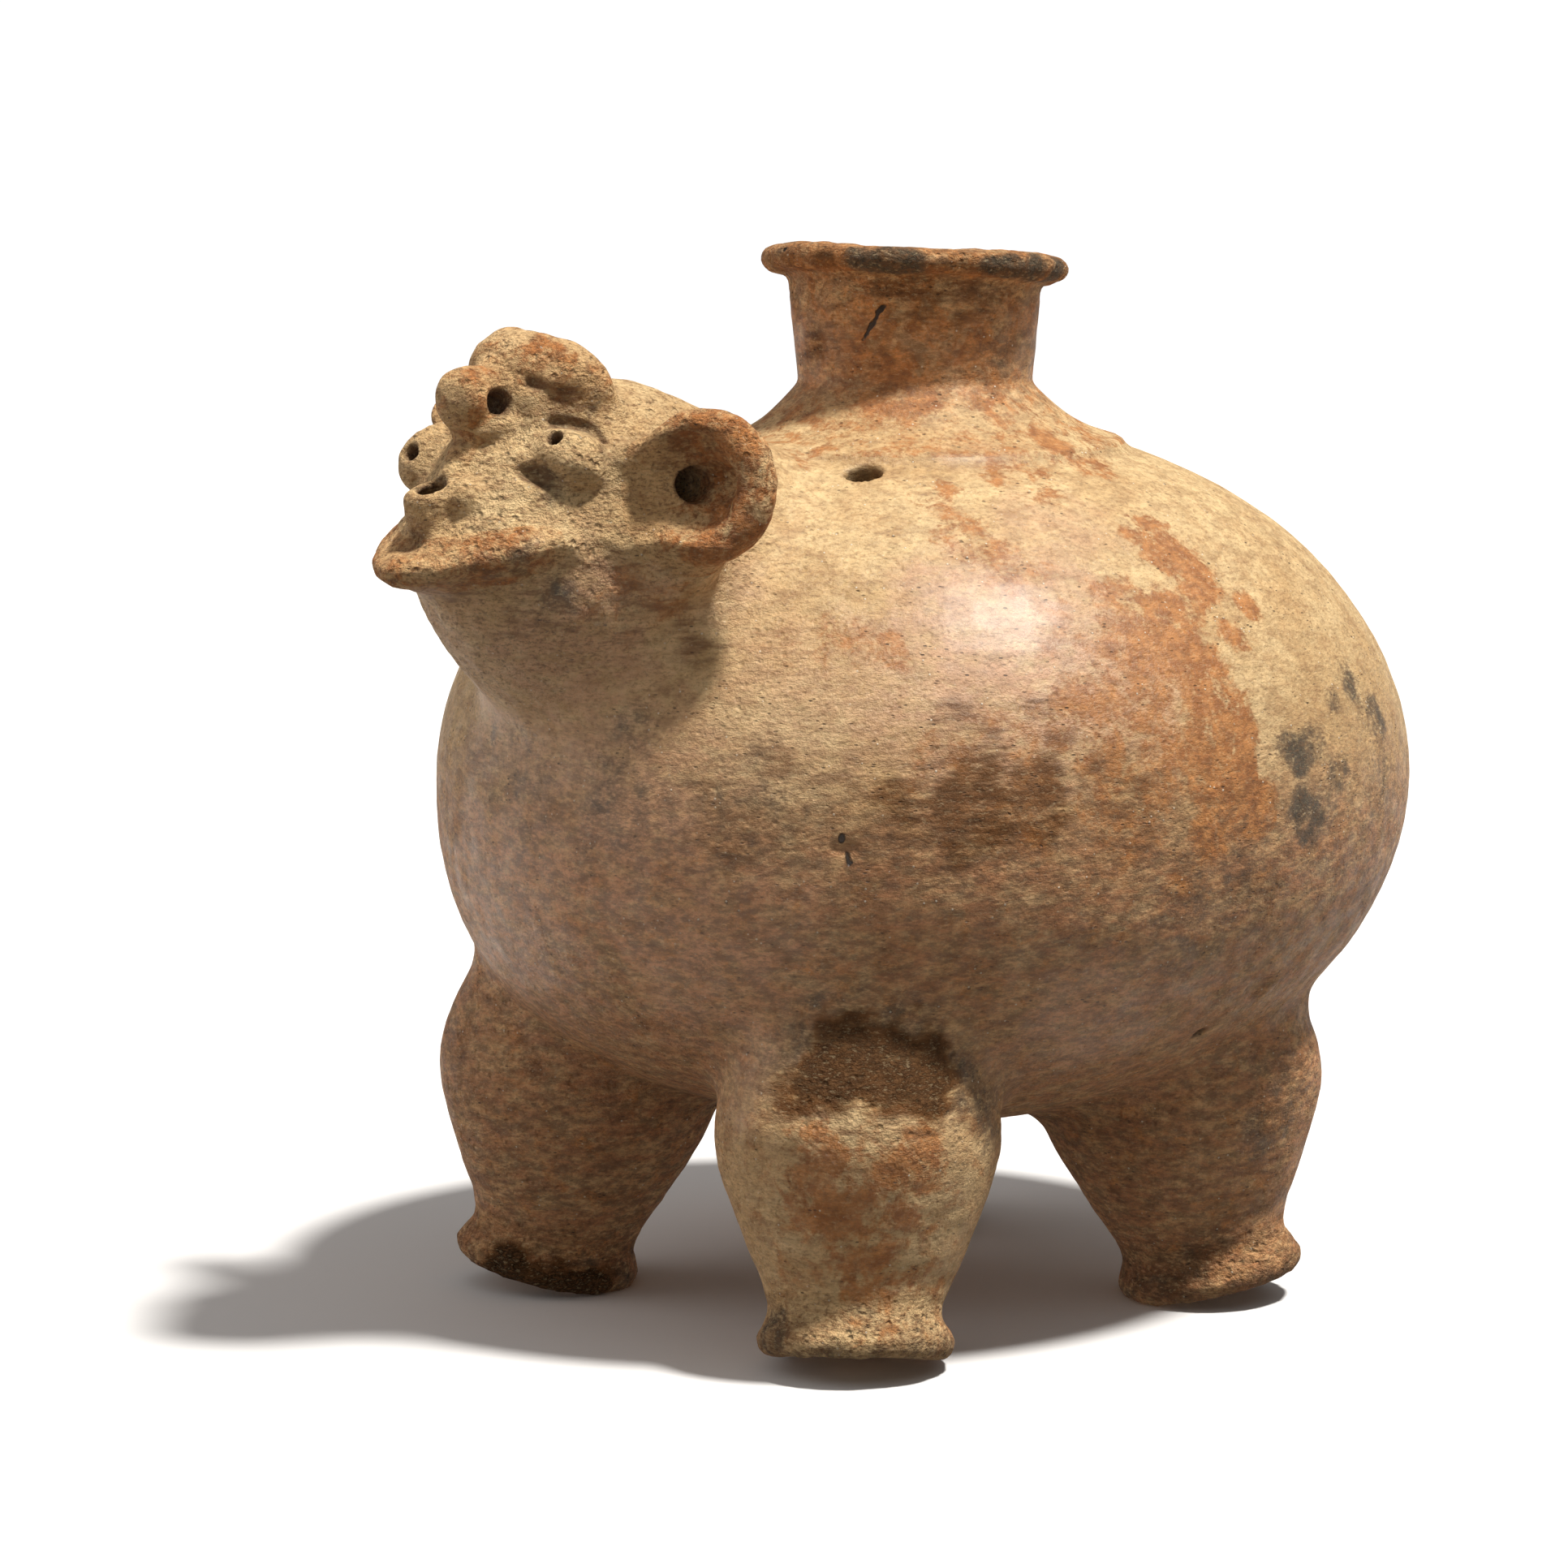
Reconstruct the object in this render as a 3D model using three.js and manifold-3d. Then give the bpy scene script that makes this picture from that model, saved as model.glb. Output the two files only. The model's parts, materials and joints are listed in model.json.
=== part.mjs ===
// Four-legged effigy jar of hand-built, low-fired clay: an egg-shaped hollow body with a collared
// mouth, a hollow head with modelled features, and four hollow bulbous legs on flared feet.
// Every lump, coil and shell that the potter joined is a piece of its own.
// Lengths are in millimetres. The head faces -Y, +Z is up and +X is the animal's left side.

import * as THREE from 'three'
import { mergeVertices } from 'three/addons/utils/BufferGeometryUtils.js'
import Module from 'manifold-3d'

const wasm = await Module()
wasm.setup()

// Clearance between two neighbouring pieces
const seam = 0.3

// Body: an egg on its side, long from head to tail
const bodyHalfLength = 124
const bodyHalfWidth = 115
const bodyTopHeight = 88.5
const bodyBottomHeight = 84.3
const bodyMiddleZ = 128.5
const bodyWall = 6.5
const bodyTopFullness = 2
const bodyFrontBottomFullness = 2.45
const bodyRearBottomFullness = 1.95

// Mouth collar and its rolled rim, ahead of the middle of the body
const neckForward = 3.5
const neckBoreRadius = 24.5
const neckWaistRadius = 28.8
const neckWaistRise = 8
const neckTopRadius = 31.3
const neckTopRise = 33
const neckSkirtRadius = 50
const neckSkirtEdge = 1.2
const neckSkirtSweep = 2.6
const rimRadius = 37.2
const rimThickness = 6.6
const rimTiltDegrees = 3.4

// Legs: bulbs on a square round a centre that lies ahead of the middle of the body, with the feet
// drawn in from the body's sides
const legsForward = 15.5
const legInset = 31.6
const legTiltDegrees = 12.5
const legAnkleRadius = 20.2
const legAnkleHeight = 14.5
const legShinRadius = 26
const legShinHeight = 26
const legBulbRadius = 33.3
const legBulbHeight = 50
const legRootRadius = 28
const legRootHeight = 80
const legTopRadius = 21
const legTopHeight = 104
const legBow = 2.5
const legDepthShare = 0.06
const legWall = 6
const legVentRadius = 4
const footFlangeRadius = 22.8
const footFlangeHeight = 4.6
const footSoleRadius = 20.8
const footSoleLift = 3.2

// Head: a hollow gourd that leans forward out of the body. Its frame has the face towards -Y,
// the crown towards +Z and the origin in the middle of the face, ahead of and above the body's middle
const headReach = 22.3
const headRise = 85.8
const headTiltDegrees = 35
const headHalfWidth = 42
const headCrownHeight = 50
const headThroatDepth = 41
const headLength = 98
const headSetback = 7
const headWall = 6
const throatRadius = 27

// Ears: cupped flaps that stand off the sides of the head on a thick root, pierced along the root
const earRadius = 17
const earThickness = 12
const earCupRadius = 12
const earCupDepth = 8
const earOut = 47
const earBack = 36.5
const earUp = 14
const earTurnDegrees = 40
const earRootRadius = 10.5
const earRootLength = 19
const earRootTurnDegrees = 43
const earHoleRadius = 4.2

// Crest: a roll of clay across the brow
const crestHalfSpan = 17
const crestHalfHeight = 9
const crestHalfDepth = 9
const crestUp = 26
const crestBack = 10
const crestEndDrop = 3
const crestEndBack = 9

// Nose: a knob with a nostril on each side, over a column that runs down to the mouth
const noseRadius = 6.8
const noseRootUp = 20
const noseRootBack = 8
const noseTipUp = 9
const noseTipForward = 4
const noseColumnRadius = 4
const noseColumnFootDrop = 9
const nostrilRadius = 2.7
const nostrilDepth = 4.6
const nostrilUp = 13
const nostrilBack = 3

// Mouth: a short open tube
const mouthRadius = 7.6
const mouthHoleRadius = 2.5
const mouthLength = 16
const mouthDrop = 11
const mouthForward = -3
const mouthTiltDegrees = 20

// Jaw: a crescent ledge under the face
const jawHalfWidth = 27
const jawTipDrop = 29
const jawTipBack = 9.5
const jawEndRise = 20
const jawEndBack = 15.5
const jawPointShare = 1.4
const jawHalfThickness = 4
const jawHalfDepth = 8

// Eyes: low domes with a pricked pupil
const eyeRadius = 9
const eyeOut = 18
const eyeUp = 5.5
const eyeBack = 19.5
const eyeTurnDegrees = 35
const pupilRadius = 1.9

// Holes pricked through the body
const shoulderHoleHalfWidth = 4.6
const shoulderHoleHalfHeight = 2.3
const shoulderHoleBearingDegrees = -56
const shoulderHoleRiseDegrees = 58
const flankHoleRadius = 1.7
const flankHoleBearingDegrees = 5
const flankHoleRiseDegrees = -42

// Clay colours
const buffClay = 0xbe9468
const slipClay = 0xa8683f
const sootedClay = 0x7c624a

// Counts of steps round and along the forms
const bodySteps = { round: 44, along: 20 }
const bodyHollowSteps = { round: 30, along: 15 }
const neckSteps = 32
const headSteps = 32
const headHollowSteps = 24
const legSteps = { round: 24, along: 3 }
const legHollowSteps = { round: 16, along: 2 }
const earSteps = 20
const lumpSteps = { round: 12, along: 10 }
const eyeSteps = { round: 16, along: 8 }
const holeSteps = 10

const degrees = Math.PI / 180

// Turn a closed geometry into a solid whose corners are shared
function solid (geometry) {
  const bare = geometry.clone()
  bare.deleteAttribute('normal')
  bare.deleteAttribute('uv')
  const merged = mergeVertices(bare)
  const corners = merged.index.array
  const triangles = []
  for (let i = 0; i < corners.length; i += 3) {
    const [a, b, c] = [corners[i], corners[i + 1], corners[i + 2]]
    if (a !== b && b !== c && c !== a) triangles.push(a, b, c)
  }
  return new wasm.Manifold(new wasm.Mesh({
    numProp: 3,
    vertProperties: new Float32Array(merged.attributes.position.array),
    triVerts: new Uint32Array(triangles)
  }))
}

// Give a solid back as a geometry with flat facets
function surface (body) {
  const { vertProperties, triVerts } = body.getMesh()
  const geometry = new THREE.BufferGeometry()
  geometry.setAttribute('position', new THREE.BufferAttribute(new Float32Array(vertProperties), 3))
  geometry.setIndex(new THREE.BufferAttribute(new Uint32Array(triVerts), 1))
  const flat = geometry.toNonIndexed()
  flat.computeVertexNormals()
  return flat
}

// What is left of a geometry once others are cut out of it
function cut (geometry, ...tools) {
  return tools.reduce((rest, tool) => rest.subtract(solid(tool)), solid(geometry))
}

// Revolve a profile of [radius, height] points, listed from the bottom up, about +Z
function revolve (profile, steps) {
  const points = profile.map(([radius, height]) => new THREE.Vector2(radius, height))
  return new THREE.LatheGeometry(points, steps).rotateX(Math.PI / 2)
}

// A closed skin through rings of points, with a fan at each end
function loft (rings) {
  const count = rings[0].length
  const last = rings.length - 1
  const middle = ring => ring.reduce((sum, p) => sum.add(p), new THREE.Vector3()).divideScalar(count)
  const points = [middle(rings[0]), ...rings.flat(), middle(rings[last])]
  const at = (ring, side) => 1 + ring * count + (side % count)
  const index = []
  for (let side = 0; side < count; side++) {
    index.push(0, at(0, side + 1), at(0, side))
    for (let ring = 0; ring < last; ring++) {
      index.push(at(ring, side), at(ring, side + 1), at(ring + 1, side + 1))
      index.push(at(ring, side), at(ring + 1, side + 1), at(ring + 1, side))
    }
    index.push(points.length - 1, at(last, side), at(last, side + 1))
  }
  const geometry = new THREE.BufferGeometry().setFromPoints(points)
  geometry.setIndex(index)
  return geometry
}

// A roll of clay with rounded ends: spine(t) gives its centre and size(t) its half-width and
// half-height, for t from 0 to 1
function roll (spine, size, upward) {
  const rings = []
  for (let i = 0; i <= lumpSteps.along; i++) {
    const t = (1 - Math.cos(Math.PI * (i + 0.4) / (lumpSteps.along + 0.8))) / 2
    const ahead = spine(Math.min(t + 0.01, 1)).sub(spine(Math.max(t - 0.01, 0))).normalize()
    const across = new THREE.Vector3().crossVectors(upward, ahead).normalize()
    const up = new THREE.Vector3().crossVectors(ahead, across).normalize()
    const [halfWidth, halfHeight] = size(t)
    const taper = Math.sqrt(1 - (2 * t - 1) ** 6)
    rings.push(Array.from({ length: lumpSteps.round }, (_, side) => {
      const turn = 2 * Math.PI * side / lumpSteps.round
      return spine(t)
        .addScaledVector(across, Math.cos(turn) * halfWidth * taper)
        .addScaledVector(up, Math.sin(turn) * halfHeight * taper)
    }))
  }
  return loft(rings)
}

// A straight oval pin along +Z, centred on its frame's origin, for piercing
function pin (halfX, halfY, length, steps = holeSteps) {
  return new THREE.CylinderGeometry(1, 1, 1, steps).rotateX(Math.PI / 2).scale(halfX, halfY, length)
}

// A frame of a sub-assembly
function frameIn (parent, x, y, z, rotation = new THREE.Euler()) {
  const frame = new THREE.Group()
  frame.position.set(x, y, z)
  frame.rotation.copy(rotation)
  parent.add(frame)
  frame.updateWorldMatrix(true, false)
  return frame
}

// Bring a geometry from one frame into another
function between (geometry, from, to) {
  return geometry.clone().applyMatrix4(to.matrixWorld.clone().invert().multiply(from.matrixWorld))
}

function place (frame, name, body, color, roughness) {
  const material = new THREE.MeshStandardMaterial({ color, roughness, metalness: 0 })
  const mesh = new THREE.Mesh(surface(body), material)
  mesh.name = name
  frame.add(mesh)
}

// Frames of the sub-assemblies
const vessel = new THREE.Group()
const neckWaistZ = bodyMiddleZ + bodyTopHeight + neckWaistRise
const neckTopZ = bodyMiddleZ + bodyTopHeight + neckTopRise
const neckFrame = frameIn(vessel, 0, -neckForward, 0)
const rimFrame = frameIn(neckFrame, 0, 0, neckTopZ, new THREE.Euler(-rimTiltDegrees * degrees, 0, 0))
const headTilt = headTiltDegrees * degrees
const headFrame = frameIn(vessel, 0, -bodyHalfLength - headReach, bodyMiddleZ + headRise,
  new THREE.Euler(-headTilt, 0, 0))
const mouthFrame = frameIn(headFrame, 0, -mouthForward, -mouthDrop,
  new THREE.Euler(-mouthTiltDegrees * degrees, 0, 0))
const sides = [['left', 1], ['right', -1]].map(([name, side]) => ({
  name,
  side,
  earFrame: frameIn(headFrame, side * earOut, earBack, earUp,
    new THREE.Euler(headTilt, 0, side * earTurnDegrees * degrees)),
  eyeFrame: frameIn(headFrame, side * eyeOut, eyeBack, eyeUp,
    new THREE.Euler(0, 0, side * eyeTurnDegrees * degrees))
}))
const legs = [['front_left', 1, -1], ['front_right', -1, -1], ['rear_left', 1, 1], ['rear_right', -1, 1]]
  .map(([name, side, end]) => {
    const bearing = Math.atan2(end, side)
    const out = bodyHalfWidth - legInset
    const frame = frameIn(vessel, out * Math.cos(bearing), out * Math.sin(bearing) - legsForward,
      footSoleLift, new THREE.Euler(0, -legTiltDegrees * degrees, bearing, 'ZYX'))
    return { name, frame }
  })

// A point of the body's form in a direction from its middle, grown or shrunk by an offset. The
// belly is fuller under the chest than under the tail
function bodyPoint ({ x, y, z }, offset) {
  const rearward = (1 + y) / 2
  const bellyFullness = rearward * bodyRearBottomFullness + (1 - rearward) * bodyFrontBottomFullness
  const fullness = z > 0 ? bodyTopFullness : bellyFullness
  const halfHeight = z > 0 ? bodyTopHeight : bodyBottomHeight
  const swell = (Math.hypot(x, y) ** fullness + Math.abs(z) ** fullness) ** (-1 / fullness)
  return new THREE.Vector3(x * swell * (bodyHalfWidth + offset), y * swell * (bodyHalfLength + offset),
    z * swell * (halfHeight + offset) + bodyMiddleZ)
}

// The body's outside, its hollow or the seat for the rest
function bodyForm (offset, steps = bodySteps) {
  const geometry = new THREE.SphereGeometry(1, steps.round, steps.along).rotateX(Math.PI / 2)
  const corners = geometry.attributes.position
  for (let i = 0; i < corners.count; i++) {
    corners.setXYZ(i, ...bodyPoint(new THREE.Vector3().fromBufferAttribute(corners, i), offset))
  }
  return geometry
}

// Height of the body's outside over a place near its top
function bodyTopAt (x, y) {
  const flat = Math.hypot(x / bodyHalfWidth, y / bodyHalfLength)
  return bodyMiddleZ + bodyTopHeight * (1 - flat ** bodyTopFullness) ** (1 / bodyTopFullness)
}

// The head's outside or hollow: a blunt prow of a face that widens towards the root. Shares of the
// head's length, half-width, crown height and throat depth
const headShares = [[0, 0.1, 0.08, 0.2], [0.015, 0.27, 0.25, 0.46], [0.05, 0.44, 0.42, 0.61],
  [0.11, 0.57, 0.56, 0.73], [0.2, 0.7, 0.7, 0.83], [0.33, 0.82, 0.83, 0.92], [0.5, 0.92, 0.92, 0.98],
  [0.75, 1, 1, 1.02], [1, 1.05, 1.02, 1.05]]
function headForm (offset, steps, extra = 0) {
  return loft(headShares.map(([back, width, crown, throat]) => {
    const y = headSetback - offset + back * (headLength + extra)
    return Array.from({ length: steps }, (_, side) => {
      const turn = 2 * Math.PI * side / steps
      const rise = Math.cos(turn)
      const halfHeight = rise > 0 ? crown * headCrownHeight : throat * headThroatDepth
      return new THREE.Vector3(Math.sin(turn) * Math.max(width * headHalfWidth + offset, seam), y,
        rise * Math.max(halfHeight + offset, seam))
    })
  }))
}

// Outline of a leg: ankle, shin, bulb, root and top, as a smooth curve of radius against height
function legForm (offset, { round, along }, bottom, extra = 0) {
  const outline = new THREE.SplineCurve([
    new THREE.Vector2(legAnkleRadius, legAnkleHeight),
    new THREE.Vector2(legShinRadius, legShinHeight),
    new THREE.Vector2(legBulbRadius, legBulbHeight),
    new THREE.Vector2(legRootRadius, legRootHeight),
    new THREE.Vector2(legTopRadius, legTopHeight)
  ]).getPoints(4 * along)
  const rows = outline.filter(({ y }) => y > bottom).map(({ x, y }) => [x + offset, y])
  const first = outline.find(({ y }) => y >= bottom)
  const top = legTopHeight + extra
  const form = revolve(
    [[0, bottom], [first.x + offset, bottom], ...rows, [legTopRadius + offset, top], [0, top]], round)
  const corners = form.attributes.position
  for (let i = 0; i < corners.count; i++) {
    const rise = (corners.getZ(i) - legAnkleHeight) / (legTopHeight - legAnkleHeight)
    const swell = Math.sin(Math.PI * Math.min(Math.max(rise, 0), 1))
    corners.setX(i, corners.getX(i) * (1 + legDepthShare * swell) + legBow * swell)
  }
  return form
}

const throughBody = bodyTopHeight
const throughHead = headHalfWidth
const bodySeat = bodyForm(seam)
const headSeat = headForm(seam, headSteps)

// Holes
const neckBore = pin(neckBoreRadius, neckBoreRadius, throughBody, neckSteps)
  .translate(0, 0, bodyMiddleZ + bodyTopHeight)
const throat = pin(throatRadius, throatRadius, headLength, neckSteps)
  .rotateX(Math.PI / 2).translate(0, headLength, 0)
const legVent = pin(legVentRadius, legVentRadius, legTopHeight)
  .translate(0, 0, legBulbHeight + legTopHeight / 2)
const earHoles = sides.map(({ side, earFrame }) => between(
  pin(earHoleRadius, earHoleRadius, earRootLength + 2 * headWall).rotateX(Math.PI / 2)
    .translate(0, (earRootLength + headWall) / 2, 0).rotateZ(side * earRootTurnDegrees * degrees),
  earFrame, headFrame))
const pupil = pin(pupilRadius, pupilRadius, throughHead).rotateX(Math.PI / 2)
const mouthHole = pin(mouthHoleRadius, mouthHoleRadius, throughHead).rotateX(Math.PI / 2)

// A hole pricked into the body square to its skin, in a direction from the body's middle
function pricked (bearingDegrees, riseDegrees, halfWidth, halfHeight) {
  const skinAt = (bearing, rise) => bodyPoint({
    x: Math.cos(rise * degrees) * Math.cos(bearing * degrees),
    y: Math.cos(rise * degrees) * Math.sin(bearing * degrees),
    z: Math.sin(rise * degrees)
  }, 0)
  const place = skinAt(bearingDegrees, riseDegrees)
  const across = skinAt(bearingDegrees + 1, riseDegrees).sub(place)
  const upward = skinAt(bearingDegrees, riseDegrees + 1).sub(place)
  const outward = across.clone().cross(upward).normalize()
  const turn = new THREE.Quaternion().setFromUnitVectors(new THREE.Vector3(0, 0, 1), outward)
  return pin(halfWidth, halfHeight, throughHead).applyQuaternion(turn).translate(place.x, place.y, place.z)
}

// Body shell
place(vessel, 'body_shell', cut(
  bodyForm(0),
  bodyForm(-bodyWall, bodyHollowSteps),
  between(neckBore, neckFrame, vessel),
  between(throat, headFrame, vessel),
  pricked(shoulderHoleBearingDegrees, shoulderHoleRiseDegrees, shoulderHoleHalfWidth, shoulderHoleHalfHeight),
  pricked(flankHoleBearingDegrees, flankHoleRiseDegrees, flankHoleRadius, flankHoleRadius),
  ...legs.map(({ frame }) => between(legVent, frame, vessel))
), buffClay, 0.7)

// Neck collar: a skirt that lies on the body's shoulder and a slightly flaring wall
const skirtShares = [1, 0.8, 0.6, 0.42, 0.25, 0.12, 0]
const wallShares = [0.33, 0.66, 1, 1.3]
function neckRing (radius, rise) {
  return Array.from({ length: neckSteps }, (_, side) => {
    const turn = 2 * Math.PI * side / neckSteps
    const [x, y] = [radius * Math.cos(turn), radius * Math.sin(turn)]
    return new THREE.Vector3(x, y, rise(x, y))
  })
}
const shoulderAt = (x, y) => bodyTopAt(x, y - neckForward)
const neckRings = [
  neckRing(neckSkirtRadius, (x, y) => shoulderAt(x, y) - bodyWall),
  ...skirtShares.map(share => {
    const radius = neckWaistRadius + share * (neckSkirtRadius - neckWaistRadius)
    return neckRing(radius, (x, y) => {
      const shoulder = shoulderAt(x, y) + neckSkirtEdge
      return shoulder + (neckWaistZ - shoulder) * (1 - share) ** neckSkirtSweep
    })
  }),
  ...wallShares.map(share => neckRing(
    neckWaistRadius + share * (neckTopRadius - neckWaistRadius),
    () => neckWaistZ + share * (neckTopZ - neckWaistZ)))
]
const aboveRimSeat = pin(rimRadius, rimRadius, rimRadius, neckSteps).translate(0, 0, rimRadius / 2)
place(neckFrame, 'neck_collar', cut(
  loft(neckRings),
  neckBore,
  between(bodySeat, vessel, neckFrame),
  between(headSeat, headFrame, neckFrame),
  between(aboveRimSeat, rimFrame, neckFrame)
), buffClay, 0.75)

// Rolled rim: shares of the lip's width outside the bore, and of its thickness
const rimShares = [[0, 0], [0.55, 0], [0.84, 0.08], [0.97, 0.3], [1, 0.55], [0.94, 0.84], [0.76, 1],
  [0.3, 1], [0.08, 0.88], [0, 0.65], [0, 0]]
place(rimFrame, 'rim_lip', solid(revolve(rimShares.map(([out, up]) => [
  neckBoreRadius + out * (rimRadius - neckBoreRadius), seam + up * rimThickness
]), neckSteps)), sootedClay, 0.85)

// Head shell
place(headFrame, 'head_shell', cut(
  headForm(0, headSteps),
  headForm(-headWall, headHollowSteps, headWall),
  between(bodySeat, vessel, headFrame),
  between(mouthHole, mouthFrame, headFrame),
  ...earHoles,
  ...sides.map(({ eyeFrame }) => between(pupil, eyeFrame, headFrame))
), buffClay, 0.85)

// Crest
const faceUp = new THREE.Vector3(0, 0, 1)
function crestForm (offset) {
  return roll(t => {
    const turn = (2 * t - 1) * Math.PI / 2
    return new THREE.Vector3(crestHalfSpan * Math.sin(turn),
      crestBack + crestEndBack * (1 - Math.cos(turn)), crestUp - crestEndDrop * (1 - Math.cos(turn)))
  }, () => [crestHalfDepth + offset, crestHalfHeight + offset], faceUp)
}
place(headFrame, 'crest', cut(crestForm(0), headSeat), slipClay, 0.85)

// Mouth
const mouthShares = [[0, 0], [0.82, 0], [1, 0.16], [1.08, 1], [0, 1]]
function mouthForm (offset) {
  return revolve(mouthShares.map(([out, back]) => [
    out * (mouthRadius + offset), back * mouthLength - offset
  ]), lumpSteps.round).rotateX(-Math.PI / 2)
}
const mouthSeat = between(mouthForm(seam), mouthFrame, headFrame)

// Jaw ledge, level with the ground when the jar stands
const levelUp = new THREE.Vector3(0, -Math.sin(headTilt), Math.cos(headTilt))
function jawForm (offset) {
  return roll(t => {
    const side = 2 * t - 1
    const along = Math.abs(side) ** jawPointShare
    return new THREE.Vector3(jawHalfWidth * side, jawTipBack + jawEndBack * along,
      jawEndRise * along - jawTipDrop)
  }, () => [jawHalfDepth + offset, jawHalfThickness + offset], levelUp)
}
const jawSeat = jawForm(seam)
place(headFrame, 'jaw_ledge', cut(jawForm(0), headSeat), slipClay, 0.85)
place(mouthFrame, 'mouth_spout', cut(
  mouthForm(0),
  mouthHole,
  between(headSeat, headFrame, mouthFrame),
  between(jawSeat, headFrame, mouthFrame)
), buffClay, 0.85)

// Nose
const noseKnob = roll(
  t => new THREE.Vector3(0, noseRootBack - t * (noseRootBack + noseTipForward),
    noseRootUp - t * (noseRootUp - noseTipUp)),
  () => [noseRadius, noseRadius], faceUp)
const noseColumn = roll(
  t => new THREE.Vector3(0, headSetback, noseTipUp - t * (noseTipUp + noseColumnFootDrop)),
  () => [noseColumnRadius, noseColumnRadius], new THREE.Vector3(0, 1, 0))
const nostrils = sides.map(({ side }) => pin(nostrilRadius, nostrilRadius, 2 * nostrilDepth)
  .rotateY(Math.PI / 2).translate(side * noseRadius, nostrilBack, nostrilUp))
place(headFrame, 'nose', [crestForm(seam), mouthSeat, headSeat, ...nostrils].reduce(
  (rest, tool) => rest.subtract(solid(tool)), solid(noseKnob).add(solid(noseColumn))), slipClay, 0.85)

// Ears and eyes
const earShares = [[0, 0], [0.62, 0], [0.9, 0.25], [1, 0.6], [0.97, 0.88], [0.87, 1], [0, 1]]
const cupShares = [[0, 0], [0.62, 0], [1, 0.95], [1.1, 1.2], [0, 1.2]]
const earDisc = revolve(earShares.map(([out, up]) => [out * earRadius, (up - 0.5) * earThickness]),
  earSteps).rotateX(Math.PI / 2)
const earCup = revolve(cupShares.map(([out, up]) => [
  out * earCupRadius, earThickness / 2 + (up - 1) * earCupDepth
]), earSteps).rotateX(Math.PI / 2)
for (const { name, side, earFrame, eyeFrame } of sides) {
  const rootTurn = side * earRootTurnDegrees * degrees
  const earRoot = roll(
    t => new THREE.Vector3(-Math.sin(rootTurn), Math.cos(rootTurn), 0).multiplyScalar(t * earRootLength),
    () => [earRootRadius, earRootRadius], faceUp)
  const holed = [earCup, between(headSeat, headFrame, earFrame),
    ...earHoles.map(hole => between(hole, headFrame, earFrame))]
  place(earFrame, `ear_${name}`, holed.reduce((rest, tool) => rest.subtract(solid(tool)),
    solid(earDisc).add(solid(earRoot))), slipClay, 0.85)
  const dome = new THREE.SphereGeometry(eyeRadius, eyeSteps.round, eyeSteps.along)
  place(eyeFrame, `eye_${name}`, cut(dome, pupil, between(headSeat, headFrame, eyeFrame),
    between(crestForm(seam), headFrame, eyeFrame)), buffClay, 0.85)
}

// Legs and feet: outline of a foot as shares of the flange's radius and of the ankle's height
const floor = new THREE.BoxGeometry(bodyHalfLength, bodyHalfLength, bodyHalfLength)
  .translate(0, 0, -bodyHalfLength / 2)
for (const { name, frame } of legs) {
  const shell = cut(
    legForm(0, legSteps, legAnkleHeight + seam),
    legForm(-legWall, legHollowSteps, legAnkleHeight + legWall, legWall),
    between(bodySeat, vessel, frame))
  place(frame, `leg_${name}`, shell, buffClay, 0.75)
  const footForm = revolve([
    [0, 0],
    [footSoleRadius, 0],
    [footFlangeRadius, footFlangeHeight / 2],
    [footFlangeRadius, footFlangeHeight],
    [legAnkleRadius, 2 * footFlangeHeight],
    [legAnkleRadius, legAnkleHeight],
    [0, legAnkleHeight]
  ], legSteps.round)
  const underfoot = new THREE.Matrix4().setPosition(frame.position.x, frame.position.y, 0)
  const ground = floor.clone().applyMatrix4(underfoot)
  place(frame, `foot_${name}`, cut(footForm, between(ground, vessel, frame)), sootedClay, 0.9)
}

// Stand the vessel on the floor with the middle of its footprint over the origin
const extent = new THREE.Box3().setFromObject(vessel, true)
vessel.position.set(-(extent.min.x + extent.max.x) / 2, -(extent.min.y + extent.max.y) / 2, -extent.min.z)

export default vessel
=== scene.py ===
"""Looks of a four-legged effigy jar of hand-built, low-fired clay.

Every lump and coil is laid down as a solid form, the forms are melted into each other in a volume
the way wet clay is smeared, and the skin of that volume is cut back into the jar's separate pieces.
Lengths are in millimetres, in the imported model's frame, until a mesh goes into the scene.
"""

import json
import math

import bmesh
import bpy
import numpy as np
import openvdb
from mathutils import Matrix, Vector
from mathutils.bvhtree import BVHTree


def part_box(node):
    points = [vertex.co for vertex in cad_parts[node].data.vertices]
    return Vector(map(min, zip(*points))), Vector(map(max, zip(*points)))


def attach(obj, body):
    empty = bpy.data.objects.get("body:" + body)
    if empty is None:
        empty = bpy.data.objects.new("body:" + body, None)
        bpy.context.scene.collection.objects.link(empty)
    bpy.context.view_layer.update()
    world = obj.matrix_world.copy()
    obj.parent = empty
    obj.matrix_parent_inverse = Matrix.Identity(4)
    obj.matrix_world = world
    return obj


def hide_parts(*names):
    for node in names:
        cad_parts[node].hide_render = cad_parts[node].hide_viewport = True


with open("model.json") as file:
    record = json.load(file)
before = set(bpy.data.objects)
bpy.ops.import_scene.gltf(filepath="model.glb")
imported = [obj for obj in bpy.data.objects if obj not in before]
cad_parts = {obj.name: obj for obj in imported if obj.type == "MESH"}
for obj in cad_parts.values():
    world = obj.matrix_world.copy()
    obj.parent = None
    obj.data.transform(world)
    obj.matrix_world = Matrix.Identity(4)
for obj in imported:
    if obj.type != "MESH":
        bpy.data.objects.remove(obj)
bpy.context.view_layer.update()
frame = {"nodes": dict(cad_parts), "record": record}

MM = 0.001
rng_seed = 41

# Fineness of the clay volumes, in millimetres per cell, and how far from its skin they know the clay
vessel_cell = 1.0
head_cell = 0.65
reach = 10.0

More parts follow.
